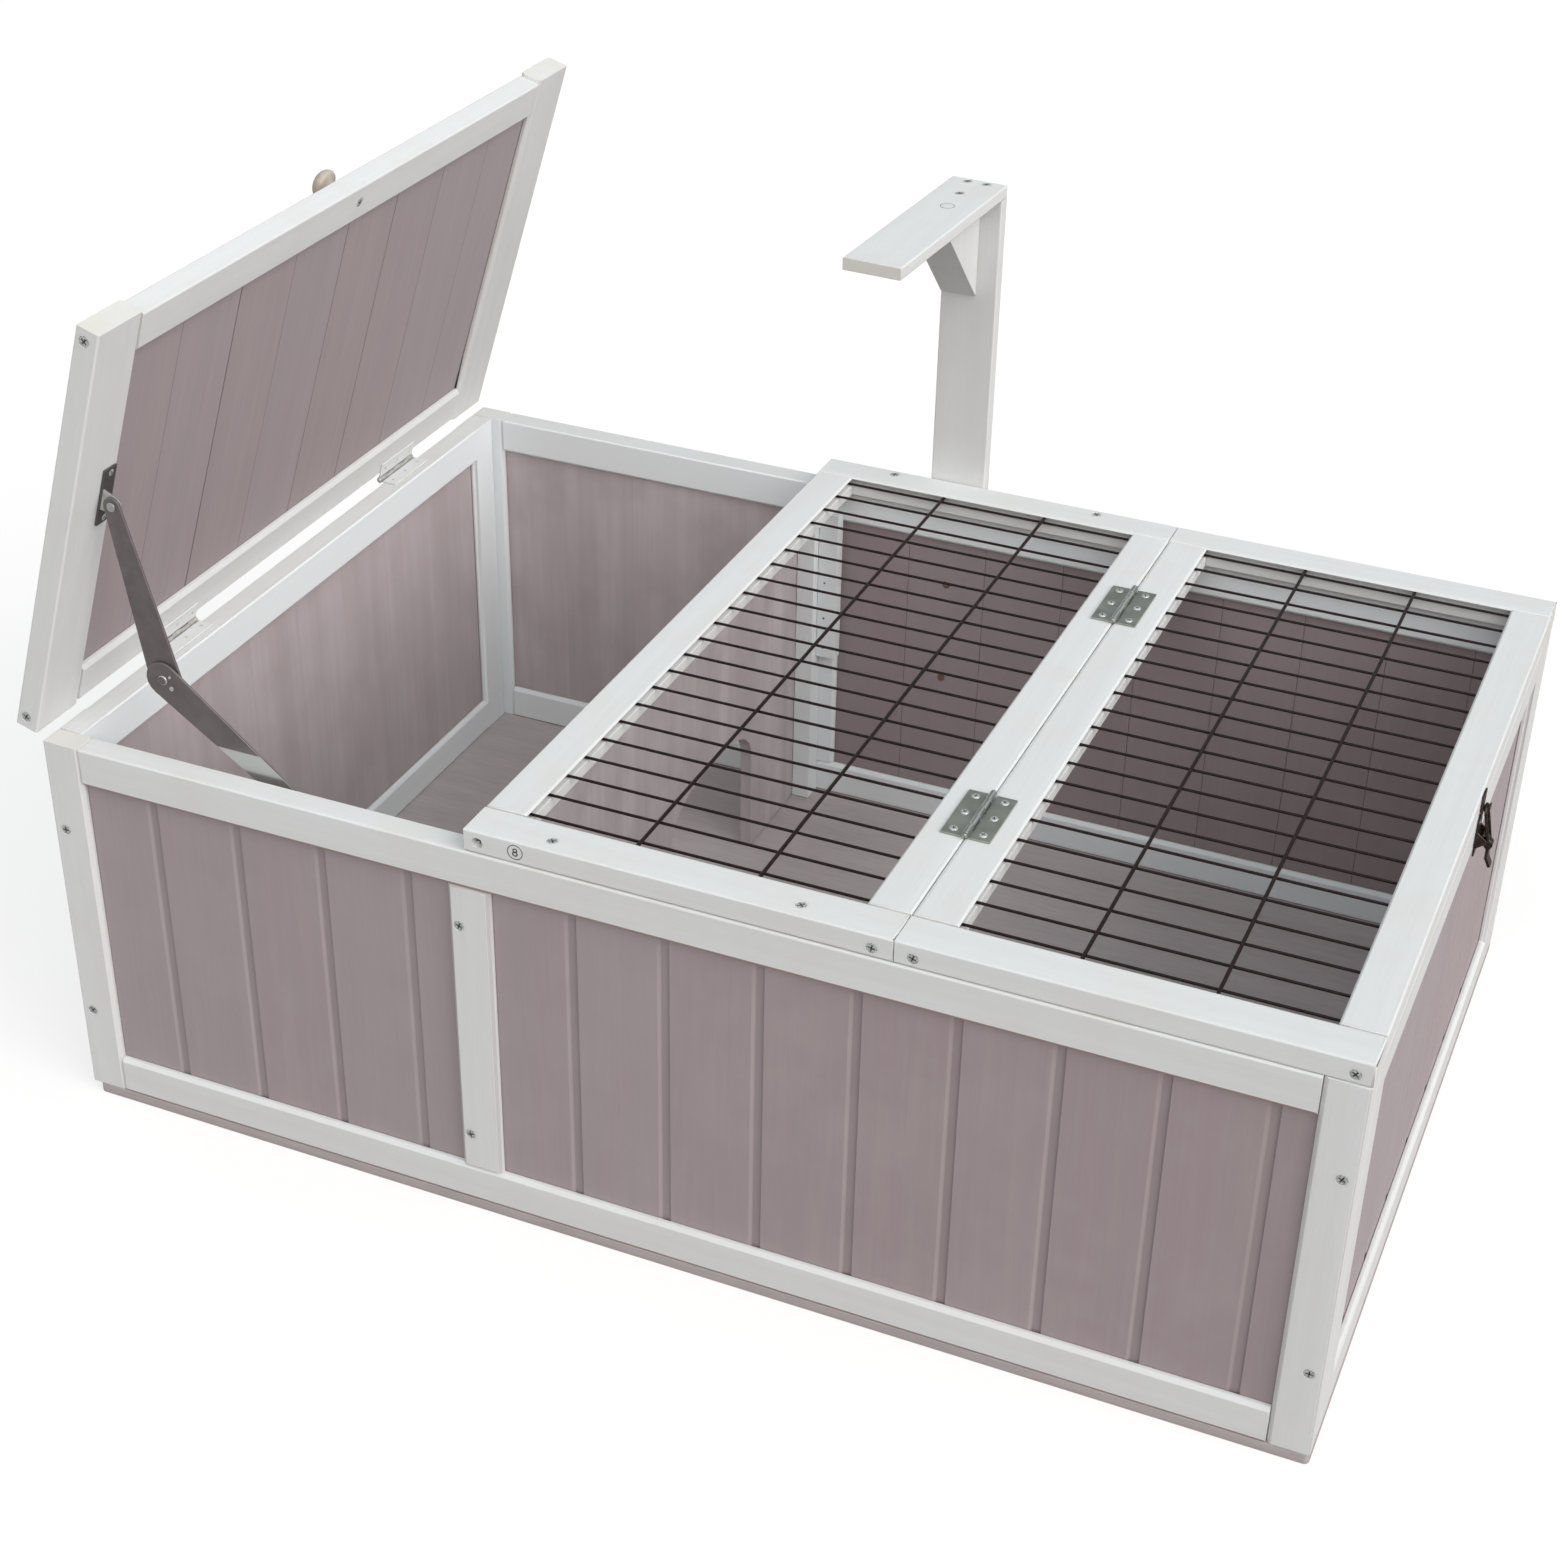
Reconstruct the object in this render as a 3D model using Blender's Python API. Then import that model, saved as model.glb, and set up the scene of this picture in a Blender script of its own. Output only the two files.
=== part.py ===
"""Tortoise house with a sleeping room, a wire-topped run, a hinged lid, a wire door and a lamp holder.

Units are metres and +Z is up. The origin is the middle of the floor board's underside. All pieces
are placed from the house corner: the left front bottom corner of the wall frames, where x runs
along the front, y runs to the back and z runs up. The lid is drawn open on its stay and the wire
door closed, as they stand when the house is looked into.
"""
import math

import bmesh
import bpy
from mathutils import Vector

for old in list(bpy.data.objects):
    bpy.data.objects.remove(old, do_unlink=True)

# Overall sizes of the box
house_length = 0.880
house_depth = 0.596
wall_height = 0.281
wall_thickness = 0.018
floor_thickness = 0.008
floor_left_inset = 0.0055

# Fits: seam is the gap between pieces that touch, overrun is how far a cutter passes a face
seam = 0.0003
overrun = 0.002

# Wall frames
post_width = 0.0274
mid_post_panel_lap = 0.0138
mid_post_width = 0.0297
top_rail_height = 0.0283
bottom_rail_height = 0.0275
side_stile_width = 0.030
arris = 0.0010
bay_arris = 0.0026

# Tongued and grooved boards
board_thickness = 0.0075
board_recess = 0.0055
board_cover = 0.0635
board_housing = 0.008
board_end_gap = 0.0008
tongue_thickness = 0.0022
board_joint = 0.0011
board_slope_width = 0.0060
board_slope_depth = 0.0011
board_arris = 0.0006
least_strip = 0.012
front_left_first_cover = 0.0532
front_right_first_cover = 0.0577
side_first_cover = 0.0440

# Divider between the room and the run
divider_post_step = 0.0090
divider_thickness = 0.010
divider_top_gap = 0.019
doorway_front = 0.325
doorway_width = 0.150
doorway_height = 0.119
doorway_spring = 0.079
doorway_curve = 2.6
doorway_steps = 14
batten_width = 0.0146
batten_depth = 0.018
short_batten_width = 0.0164
short_batten_depth = 0.010
short_batten_bottom = 0.133

# Wire panels on top of the run
panel_lid_gap = 0.00685
panel_set_back = 0.0010
panel_thickness = 0.016
panel_stile_width = 0.0285
panel_front_rail_width = 0.0295
panel_back_rail_width = 0.0260
panel_inner_arris = 0.0016
fixed_panel_excess = 0.00105
panel_gap = 0.0014
kerf_depth = 0.007
wire_diameter = 0.0022
wire_top_cover = 0.0016
wire_weld = 0.0004
wire_end_gap = 0.0010
wire_pitch = 0.0252
wire_first_gap = 0.0090
long_wire_shares = (0.331, 0.691)
wire_sides = 6

# Lid over the room, measured along the lid from its hinge axis
lid_length = 0.3093
lid_thickness = 0.0165
lid_stile_width = 0.045
lid_rail_width = 0.0276
lid_rail_set_in = 0.0020
lid_board_cover = 0.0654
lid_first_cover = 0.0465
lid_board_recess = 0.0055
lid_open_angle = 72.8

# Knob on the lid
knob_radius = 0.0108
knob_height = 0.0185
knob_foot_radius = 0.0062
knob_neck_radius = 0.0048
knob_edge_inset = 0.0147
knob_foot_share = 0.10
knob_neck_shares = (0.22, 0.38)
knob_crown_share = 0.46
knob_crown_steps = 6
knob_sides = 20

# Butt hinges
leaf_thickness = 0.00115
barrel_radius = 0.0024
pin_radius = 0.00105
pin_clearance = 0.0003
barrel_steps = 9
knuckle_count = 5
pin_head_radius = 0.0019
pin_head_length = 0.0017
pin_head_shares = ((0.8, 0), (1, 0.5), (0.7, 0.85), (0, 1))
pin_sides = 8
lid_hinge_length = 0.049
lid_hinge_width = 0.0145
lid_hinge_front = 0.1315
lid_hinge_back = 0.4335
door_hinge_length = 0.0535
door_hinge_width = 0.0162
door_hinge_front = 0.120
door_hinge_back = 0.4265

# Folding stay that holds the lid open
stay_reach = 0.1793
stay_drop = 0.0109
stay_wall_x = 0.1794
stay_wall_below_top = 0.0173
stay_elbow_rise = 0.04164
stay_arm_thickness = 0.0016
stay_collar_thickness = 0.0006
stay_stud_length = 0.0034
stay_stud_radius = 0.0040
stay_plate_thickness = 0.0015
stay_pivot_end_radius = 0.0062
stay_elbow_radius = 0.0124
stay_wall_end_radius = 0.0076
stay_rivet_radius = 0.0020
stay_rivet_head_radius = 0.0032
stay_rivet_head = 0.0008
stay_rivet_crown_share = 0.7
stay_end_steps = 10
stay_wall_plate_length = 0.034
stay_wall_plate_height = 0.017
stay_foot_length = 0.042
stay_foot_width = 0.0125
stay_ear_width = 0.016

# Toggle latch on the right wall
latch_middle_y = 0.314
latch_width = 0.014
latch_plate_thickness = 0.0012
latch_plate_drop = 0.0285
latch_plate_top_gap = 0.0020
latch_ear_height = 0.013
latch_ear_radius = 0.0025
latch_ear_arc = 70
latch_steps = 5
latch_pin_sides = 8
latch_pin_out = 0.0052
latch_pin_below_top = 0.0185
latch_pin_radius = 0.0011
latch_loop_offset = 0.0035
latch_wire_radius = 0.0009
latch_lever_width = 0.0058
latch_lever_thickness = 0.0015
latch_lever_boss = 0.0026
latch_lever_tail = 0.0200
latch_lever_curl = 0.0030
latch_lever_bend_share = 0.7
latch_loop_rise = 0.0320
latch_catch_height = 0.0125
latch_catch_width = 0.0115
latch_catch_lip_reach = 0.0045
latch_catch_lip_rise = 0.0040

# Lamp holder on the back wall
lamp_post_left = 0.397
lamp_post_width = 0.044
lamp_post_thickness = 0.0113
lamp_post_bottom = 0.098
lamp_arm_underside = 0.527
lamp_arm_thickness = 0.0092
lamp_arm_length = 0.191
lamp_arm_turn = -2.9
gusset_leg = 0.075
gusset_width = 0.0275
lamp_arris = 0.0008

# Pockets and holes for screws
screw_head_radius = 0.0037
screw_head_depth = 0.0024
screw_shank_radius = 0.0017
screw_bore_depth = 0.0072
screw_clearance = 0.0003
screw_sides = 8
leaf_hole_radius = 0.0019
leaf_hole_slope = 0.0008
leaf_hole_sides = 8
wall_screw_inset = 0.0085
wall_screw_low = 0.0645
wall_screw_high = 0.214
divider_screw_low = 0.055
divider_screw_high = 0.223
divider_screw_share = 0.43
panel_screw_inset = 0.0108
panel_screw_rise = 0.0062
panel_left_screw_inset = 0.0095
panel_left_screw_rise = 0.0078
panel_right_screw_inset = 0.0135
panel_screw_counterbore = 0.0040
panel_top_screw_left = 0.056
panel_top_screw_step = 0.165
panel_top_screw_in = 0.0110
panel_top_screw_back_in = 0.0065
lid_screw_inset = 0.0085
lid_screw_rise = 0.0096
lamp_screw_low = 0.130
lamp_screw_high = 0.214
lamp_arm_screw_spread = 0.015
gusset_screw_side = -0.0025
gusset_screw_share = 0.28
hinge_screw_shares = (0.12, 0.50, 0.88)
hinge_screw_width_share = 0.60

RIGHT = Vector((1, 0, 0))
BACK = Vector((0, 1, 0))
UP = Vector((0, 0, 1))
LEFT = -RIGHT
FRONT = -BACK
DOWN = -UP

# Places that follow from the sizes above
lid_axis_out = barrel_radius + seam + seam / 2
lid_axis_height = wall_height + 2 * seam + leaf_thickness - seam / 2
lid_face = leaf_thickness + seam + seam / 2
lid_start = barrel_radius + seam
panel_bottom = wall_height + seam
panel_top = panel_bottom + panel_thickness
panel_front = panel_set_back
panel_back = house_depth - seam
panel_left = lid_length - lid_axis_out + panel_lid_gap
mid_post_left = panel_left - mid_post_panel_lap
divider_left = mid_post_left - divider_post_step
divider_height = wall_height - divider_top_gap
fixed_panel_width = (house_length - panel_left - panel_gap) / 2 + fixed_panel_excess
fixed_right = panel_left + fixed_panel_width
door_left = fixed_right + panel_gap
door_right = house_length
door_axis_x = fixed_right + panel_gap / 2
door_axis_height = panel_top + seam + barrel_radius
long_wire_height = panel_top - wire_top_cover - seam - wire_diameter / 2
cross_wire_height = long_wire_height - wire_diameter + wire_weld
groove_width = board_thickness + 2 * seam
groove_start = board_recess - seam
inner_face_y = wall_thickness
back_inner_y = house_depth - wall_thickness

materials = {}


def material(name, colour, roughness, metallic=0.0):
    """One named Principled BSDF finish."""
    if name in materials:
        return materials[name]
    made = bpy.data.materials.new(name)
    made.use_nodes = True
    shader = made.node_tree.nodes["Principled BSDF"]
    shader.inputs["Base Color"].default_value = (*colour, 1.0)
    shader.inputs["Roughness"].default_value = roughness
    shader.inputs["Metallic"].default_value = metallic
    made.diffuse_color = (*colour, 1.0)
    materials[name] = made
    return made


def white_paint(name):
    """Off-white paint on a frame member."""
    return material(name + "_white", (0.72, 0.72, 0.70), 0.55)


def mauve_paint(name):
    """Brown-grey stain on the boards."""
    return material(name + "_stain", (0.29, 0.25, 0.25), 0.65)


def bright_metal(name):
    """Zinc plated steel."""
    return material(name + "_zinc", (0.50, 0.50, 0.48), 0.35, 1.0)


def dark_metal(name):
    """Dark grey or black coated steel."""
    return material(name + "_dark", (0.05, 0.045, 0.045), 0.45, 0.8)


def empty(name, at, parent=None, turn=(0, 0, 0)):
    """A guide point that pieces hang from."""
    point = bpy.data.objects.new(name, None)
    bpy.context.collection.objects.link(point)
    point.location = at
    point.rotation_euler = turn
    point.parent = parent
    return point


def finish(name, bm, paint, parent, origin=(0, 0, 0), smooth_angle=None):
    """Turn a bmesh into a named object with its origin at the given place under its parent."""
    bmesh.ops.recalc_face_normals(bm, faces=bm.faces)
    bmesh.ops.translate(bm, verts=bm.verts, vec=-Vector(origin))
    mesh = bpy.data.meshes.new(name)
    bm.to_mesh(mesh)
    bm.free()
    if smooth_angle is not None:
        mesh.shade_smooth()
        mesh.set_sharp_from_angle(angle=math.radians(smooth_angle))
    made = bpy.data.objects.new(name, mesh)
    bpy.context.collection.objects.link(made)
    made.data.materials.append(paint)
    made.location = origin
    made.parent = parent
    return made


def add_prism(bm, outline, at, across, rise, run, length):
    """Outline point (a, b) lies at at + a*across + b*rise, and is extruded along run."""
    start = [bm.verts.new(Vector(at) + a * across + b * rise) for a, b in outline]
    end = [bm.verts.new(vertex.co + length * run) for vertex in start]
    count = len(start)
    bm.faces.new(start)
    bm.faces.new(end)
    for k in range(count):
        following = (k + 1) % count
        bm.faces.new((start[k], start[following], end[following], end[k]))


def add_box(bm, low, high):
    """A plain box between two corners."""
    size = Vector(high) - Vector(low)
    outline = [(0, 0), (size.x, 0), (size.x, size.y), (0, size.y)]
    add_prism(bm, outline, low, RIGHT, BACK, UP, size.z)


def add_turned(bm, profile, at, direction, sides):
    """A turned solid: profile holds (radius, distance along the direction) pairs."""
    turn = direction.to_track_quat("Z", "Y").to_matrix()
    rings = []
    for radius, distance in profile:
        if radius == 0:
            rings.append([bm.verts.new(Vector(at) + turn @ Vector((0, 0, distance)))])
            continue
        ring = []
        for k in range(sides):
            angle = math.tau * k / sides
            spot = Vector((radius * math.cos(angle), radius * math.sin(angle), distance))
            ring.append(bm.verts.new(Vector(at) + turn @ spot))
        rings.append(ring)
    for lower, upper in zip(rings, rings[1:]):
        for k in range(sides):
            corners = [lower[k % len(lower)], lower[(k + 1) % len(lower)]]
            corners += [upper[(k + 1) % len(upper)], upper[k % len(upper)]]
            bm.faces.new(list(dict.fromkeys(corners)))
    for ring in (rings[0], rings[-1]):
        if len(ring) > 1:
            bm.faces.new(ring)


def cut(target, bm, name):
    """Take a cutter's shape out of a piece."""
    cutter = finish(name + "_cutter", bm, material("cutter", (1, 0, 0), 0.5), target.parent)
    cutter.hide_render = True
    cutter.display_type = "WIRE"
    modifier = target.modifiers.new(name, "BOOLEAN")
    modifier.operation = "DIFFERENCE"
    modifier.object = cutter
    return cutter


def join(target, bm, name):
    """Weld another solid to a piece."""
    added = finish(name + "_cutter", bm, target.data.materials[0], target.parent)
    added.hide_render = True
    added.display_type = "WIRE"
    modifier = target.modifiers.new(name, "BOOLEAN")
    modifier.operation = "UNION"
    modifier.object = added


def arc(centre, radius, first, last, steps):
    """Points of a circular arc, with angles in degrees."""
    points = []
    for k in range(steps + 1):
        angle = math.radians(first + (last - first) * k / steps)
        points.append((centre[0] + radius * math.cos(angle), centre[1] + radius * math.sin(angle)))
    return points


def member_outline(thickness, width, near_arris, far_arris, groove=None):
    """Section of a frame member: a is across its thickness, b across its width to the bay side.

    The far side, at b = width, faces the bay. The groove is (start, width, depth) across a.
    """
    outline = [(near_arris, 0), (thickness - near_arris, 0), (thickness, near_arris)]
    outline += [(thickness, width - far_arris), (thickness - far_arris, width)]
    if groove:
        start, opening, depth = groove
        outline += [(start + opening, width), (start + opening, width - depth)]
        outline += [(start, width - depth), (start, width)]
    outline += [(far_arris, width), (0, width - far_arris), (0, near_arris)]
    return outline


def slot_outline(start, opening, depth):
    """Section of the cutter for a slot that is open towards the bay side."""
    end = start + opening
    return [(start, 0), (end, 0), (end, depth + overrun), (start, depth + overrun)]


def joint_lines(first, last, first_cover, cover):
    """Where the boards of a bay meet, from the bay's first edge to its last."""
    lines = []
    line = first + first_cover
    while line < last - least_strip:
        lines.append(line)
        line += cover
    return lines


def boards_outline(first, last, first_cover, cover):
    """Section through the boards of one bay, glued tongue in groove and housed in the frame.

    a runs along the bay and b runs in from the face that is looked at. Each joint shows as a
    slot down to the tongue on both faces, with a long slope beside it on the outer face.
    """
    hold = board_housing - board_end_gap
    half = board_joint / 2
    outer_tongue = (board_thickness - tongue_thickness) / 2
    inner_tongue = board_thickness - outer_tongue
    inner_arris = board_thickness - board_arris
    lines = joint_lines(first, last, first_cover, cover)
    outline = [(first - hold, 0)]
    for line in lines:
        outline += [(line - half - board_slope_width, 0), (line - half, board_slope_depth)]
        outline += [(line - half, outer_tongue), (line + half, outer_tongue)]
        outline += [(line + half, board_arris), (line + half + board_arris, 0)]
    outline += [(last + hold, 0), (last + hold, board_thickness)]
    for line in reversed(lines):
        outline += [(line + half + board_arris, board_thickness), (line + half, inner_arris)]
        outline += [(line + half, inner_tongue), (line - half, inner_tongue)]
        outline += [(line - half, inner_arris), (line - half - board_arris, board_thickness)]
    outline += [(first - hold, board_thickness)]
    return outline


house = empty("house", (-house_length / 2, -house_depth / 2, floor_thickness))

screw_bores = {}


def screw_pocket(piece, at, direction, sink=0.0):
    """Remember a countersunk pocket for a wood screw in the piece that its head sits in."""
    place = Vector(at) + sink * direction
    mouth = screw_head_radius + screw_clearance
    shank = screw_shank_radius + screw_clearance
    bore = [(mouth, -sink - overrun), (mouth, seam / 2)]
    bore += [(shank, screw_head_depth + seam), (shank, screw_bore_depth)]
    screw_bores.setdefault(piece, []).append((bore, place, direction, screw_sides))


def leaf_hole(piece, at, direction):
    """Remember a countersunk hole right through a thin hinge leaf or plate."""
    bore = [(leaf_hole_radius + leaf_hole_slope, -leaf_hole_slope), (leaf_hole_radius, leaf_thickness / 2)]
    bore += [(leaf_hole_radius, stay_plate_thickness + overrun)]
    screw_bores.setdefault(piece, []).append((bore, Vector(at), direction, leaf_hole_sides))


# Floor board, a thin sheet that the wall frames stand on
bm = bmesh.new()
add_box(bm, (floor_left_inset, 0, -floor_thickness), (house_length, house_depth, -seam))
floor_origin = (floor_left_inset, 0, -floor_thickness)
finish("floor_board", bm, material("floor_ply", (0.26, 0.19, 0.16), 0.7), house, floor_origin)


def long_wall(side, outer_y, inward):
    """Front or back wall: three posts, two rails and two bays of boards."""
    wall_groove = (groove_start, groove_width, board_housing)
    rail_left = post_width + seam
    rail_length = house_length - 2 * rail_left
    bay_bottom = bottom_rail_height
    bay_top = wall_height - top_rail_height

    plain = member_outline(wall_thickness, post_width, arris, bay_arris)
    for name, x, outward in (("left", 0, RIGHT), ("right", house_length, LEFT)):
        bm = bmesh.new()
        add_prism(bm, plain, (x, outer_y, 0), inward, outward, UP, wall_height)
        post = finish(f"{side}_{name}_post", bm, white_paint(side + name), house, (x, outer_y, 0))
        bm = bmesh.new()
        slot = slot_outline(groove_start, groove_width, board_housing)
        slot_at = Vector((x, outer_y, bay_bottom - board_housing)) + (post_width - board_housing) * outward
        add_prism(bm, slot, slot_at, inward, outward, UP, bay_top - bay_bottom + 2 * board_housing)
        cut(post, bm, f"{side}_{name}_groove")

    rail = member_outline(wall_thickness, top_rail_height, arris, bay_arris, wall_groove)
    bm = bmesh.new()
    top_at = (rail_left, outer_y, wall_height)
    add_prism(bm, rail, top_at, inward, DOWN, RIGHT, rail_length)
    finish(f"{side}_top_rail", bm, white_paint(side + "top"), house, top_at)

    rail = member_outline(wall_thickness, bottom_rail_height, arris, bay_arris, wall_groove)
    bm = bmesh.new()
    bottom_at = (rail_left, outer_y, 0)
    add_prism(bm, rail, bottom_at, inward, UP, RIGHT, rail_length)
    finish(f"{side}_bottom_rail", bm, white_paint(side + "bottom"), house, bottom_at)

    half = member_outline(wall_thickness, mid_post_width / 2, 0, bay_arris, wall_groove)
    left_half = [(a, mid_post_width / 2 - b) for a, b in half[2:-1]]
    right_half = [(a, mid_post_width / 2 + b) for a, b in half[2:-1]]
    mid = left_half[::-1] + right_half
    bm = bmesh.new()
    mid_at = (mid_post_left, outer_y, bay_bottom + seam)
    add_prism(bm, mid, mid_at, inward, RIGHT, UP, bay_top - bay_bottom - 2 * seam)
    finish(f"{side}_mid_post", bm, white_paint(side + "mid"), house, mid_at)

    board_bottom = bay_bottom - board_housing + board_end_gap
    board_length = bay_top - bay_bottom + 2 * (board_housing - board_end_gap)
    at = Vector((0, outer_y, board_bottom)) + board_recess * inward
    bays = [("left", post_width, mid_post_left, front_left_first_cover)]
    right_start = mid_post_left + mid_post_width
    bays += [("right", right_start, house_length - post_width, front_right_first_cover)]
    for name, first, last, first_cover in bays:
        bm = bmesh.new()
        outline = boards_outline(first, last, first_cover, board_cover)
        add_prism(bm, outline, at, RIGHT, inward, UP, board_length)
        corner = (first, outer_y, board_bottom)
        finish(f"{side}_{name}_boards", bm, mauve_paint(side + name), house, corner)


def side_wall(side, outer_x, inward):
    """Left or right wall between the long walls: a glued frame of four members, and its boards."""
    wall_groove = (groove_start, groove_width, board_housing)
    front = inner_face_y + seam
    back = back_inner_y - seam
    bay_front = front + side_stile_width
    bay_back = back - side_stile_width
    bay_bottom = bottom_rail_height
    bay_top = wall_height - top_rail_height

    section = member_outline(wall_thickness, side_stile_width, arris, bay_arris, wall_groove)
    corner = (outer_x, front, 0)
    bm = bmesh.new()
    add_prism(bm, section, corner, inward, BACK, UP, wall_height)
    frame = finish(f"{side}_wall_frame", bm, white_paint(side), house, corner)
    bm = bmesh.new()
    add_prism(bm, section, (outer_x, back, 0), inward, FRONT, UP, wall_height)
    join(frame, bm, f"{side}_back_stile")
    tenon = side_stile_width / 2 + board_housing / 2
    rail_length = bay_back - bay_front + 2 * tenon
    rails = (("top", wall_height, DOWN, top_rail_height), ("bottom", 0, UP, bottom_rail_height))
    for name, z, toward_bay, height in rails:
        rail = member_outline(wall_thickness, height, arris, bay_arris, wall_groove)
        bm = bmesh.new()
        add_prism(bm, rail, (outer_x, bay_front - tenon, z), inward, toward_bay, BACK, rail_length)
        join(frame, bm, f"{side}_{name}_rail")

    bm = bmesh.new()
    board_bottom = bay_bottom - board_housing + board_end_gap
    board_length = bay_top - bay_bottom + 2 * (board_housing - board_end_gap)
    at = Vector((outer_x, 0, board_bottom)) + board_recess * inward
    outline = boards_outline(bay_front, bay_back, side_first_cover, board_cover)
    add_prism(bm, outline, at, BACK, inward, UP, board_length)
    finish(f"{side}_wall_boards", bm, mauve_paint(side + "wall"), house, (outer_x, bay_front, board_bottom))


long_wall("front", 0, BACK)
long_wall("back", house_depth, FRONT)
side_wall("left", 0, RIGHT)
side_wall("right", house_length, LEFT)

# Divider board with a basket-arched doorway, drawn as one outline of the board
divider_front = inner_face_y + seam
divider_back = back_inner_y - seam
doorway_middle = doorway_front + doorway_width / 2
arch = []
for k in range(doorway_steps + 1):
    angle = math.pi * k / doorway_steps
    swing = math.cos(angle)
    lift = math.sin(angle)
    reach = math.copysign(abs(swing) ** (2 / doorway_curve), swing)
    rise = lift ** (2 / doorway_curve)
    arch_y = doorway_middle + reach * doorway_width / 2
    arch.append((arch_y, doorway_spring + rise * (doorway_height - doorway_spring)))
outline = [(divider_front, seam), (doorway_front, seam)]
outline += arch[::-1]
outline += [(doorway_front + doorway_width, seam), (divider_back, seam)]
outline += [(divider_back, divider_height), (divider_front, divider_height)]
bm = bmesh.new()
add_prism(bm, outline, (divider_left, 0, 0), BACK, UP, RIGHT, divider_thickness)
divider = finish("divider_panel", bm, mauve_paint("divider"), house, (divider_left, 0, 0))

# Battens that hold the divider: one in each corner of the run, and a short one beside the back one
batten_left = divider_left + divider_thickness + seam
for side, y in (("front", divider_front), ("back", divider_back - batten_depth)):
    bm = bmesh.new()
    batten_low = (batten_left, y, seam)
    add_box(bm, batten_low, (batten_left + batten_width, y + batten_depth, divider_height))
    finish(f"divider_{side}_batten", bm, white_paint(side + "_batten"), house, batten_low)
bm = bmesh.new()
short_left = batten_left + batten_width + seam
short_low = (short_left, divider_back - short_batten_depth, short_batten_bottom)
add_box(bm, short_low, (short_left + short_batten_width, divider_back, divider_height))
finish("divider_short_batten", bm, white_paint("short_batten"), house, short_low)


def wire_panel(name, left, right, parent, origin):
    """A frame of two long rails and two stiles, with wires let into a kerf round its inside."""
    front = panel_front
    back = panel_back
    width = right - left
    inner_front = front + panel_front_rail_width
    inner_back = back - panel_back_rail_width
    kerf_low = cross_wire_height - wire_diameter / 2 - seam
    kerf_high = long_wire_height + wire_diameter / 2 + seam
    kerf = (kerf_low - panel_bottom, kerf_high - kerf_low, kerf_depth)
    base = Vector(origin)

    rails = (("front", front, BACK, panel_front_rail_width), ("back", back, FRONT, panel_back_rail_width))
    slot = slot_outline(*kerf)
    slot_inset = panel_stile_width - kerf_depth
    for side, y, inward, member in rails:
        bm = bmesh.new()
        rail = member_outline(panel_thickness, member, arris, panel_inner_arris)
        at = Vector((left, y, panel_bottom)) - base
        add_prism(bm, rail, at, UP, inward, RIGHT, width)
        made_rail = finish(f"{name}_{side}_rail", bm, white_paint(name + side), parent, at)
        bm = bmesh.new()
        slot_at = at + (member - kerf_depth) * inward + slot_inset * RIGHT
        add_prism(bm, slot, slot_at, UP, inward, RIGHT, width - 2 * slot_inset)
        cut(made_rail, bm, f"{name}_{side}_kerf")

    stile = member_outline(panel_thickness, panel_stile_width, arris, panel_inner_arris, kerf)
    stile_length = inner_back - inner_front - 2 * seam
    for side, x, inward in (("left", left, RIGHT), ("right", right, LEFT)):
        bm = bmesh.new()
        at = Vector((x, inner_front + seam, panel_bottom)) - base
        add_prism(bm, stile, at, UP, inward, BACK, stile_length)
        finish(f"{name}_{side}_stile", bm, white_paint(name + side), parent, at)

    bm = bmesh.new()
    hold = kerf_depth - wire_end_gap
    start = left + panel_stile_width - hold
    run = width - 2 * (panel_stile_width - hold)
    first = inner_front + wire_first_gap
    last = inner_back - wire_diameter
    count = round((last - first) / wire_pitch)
    round_wire = [(wire_diameter / 2, 0), (wire_diameter / 2, run)]
    for k in range(count + 1):
        y = first + (last - first) * k / count
        at = Vector((start, y, cross_wire_height)) - base
        add_turned(bm, round_wire, at, RIGHT, wire_sides)
    wires = finish(f"{name}_wires", bm, dark_metal(name), parent)
    bm = bmesh.new()
    run = inner_back - inner_front + 2 * hold
    round_wire = [(wire_diameter / 2, 0), (wire_diameter / 2, run)]
    for share in long_wire_shares:
        x = left + panel_stile_width + share * (width - 2 * panel_stile_width)
        at = Vector((x, inner_front - hold, long_wire_height)) - base
        add_turned(bm, round_wire, at, BACK, wire_sides)
    join(wires, bm, f"{name}_long_wires")


door_axis = Vector((door_axis_x, 0, door_axis_height))
door_pivot = empty("door_pivot", door_axis, house)
wire_panel("fixed_panel", panel_left, fixed_right, house, (0, 0, 0))
wire_panel("door", door_left, door_right, door_pivot, door_axis)


# Lid, built closed along +x from its hinge axis and turned up about that axis
lid_axis = Vector((-lid_axis_out, 0, lid_axis_height))
lid_pivot = empty("lid_pivot", lid_axis, house, (0, -math.radians(lid_open_angle), 0))
lid_groove = (lid_board_recess - seam, groove_width, board_housing)
stile_run = lid_length - lid_start
rail_first = lid_start + lid_rail_set_in
rail_last = lid_length - lid_rail_set_in
lid_bay_front = lid_stile_width
lid_bay_back = house_depth - lid_stile_width

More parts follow.
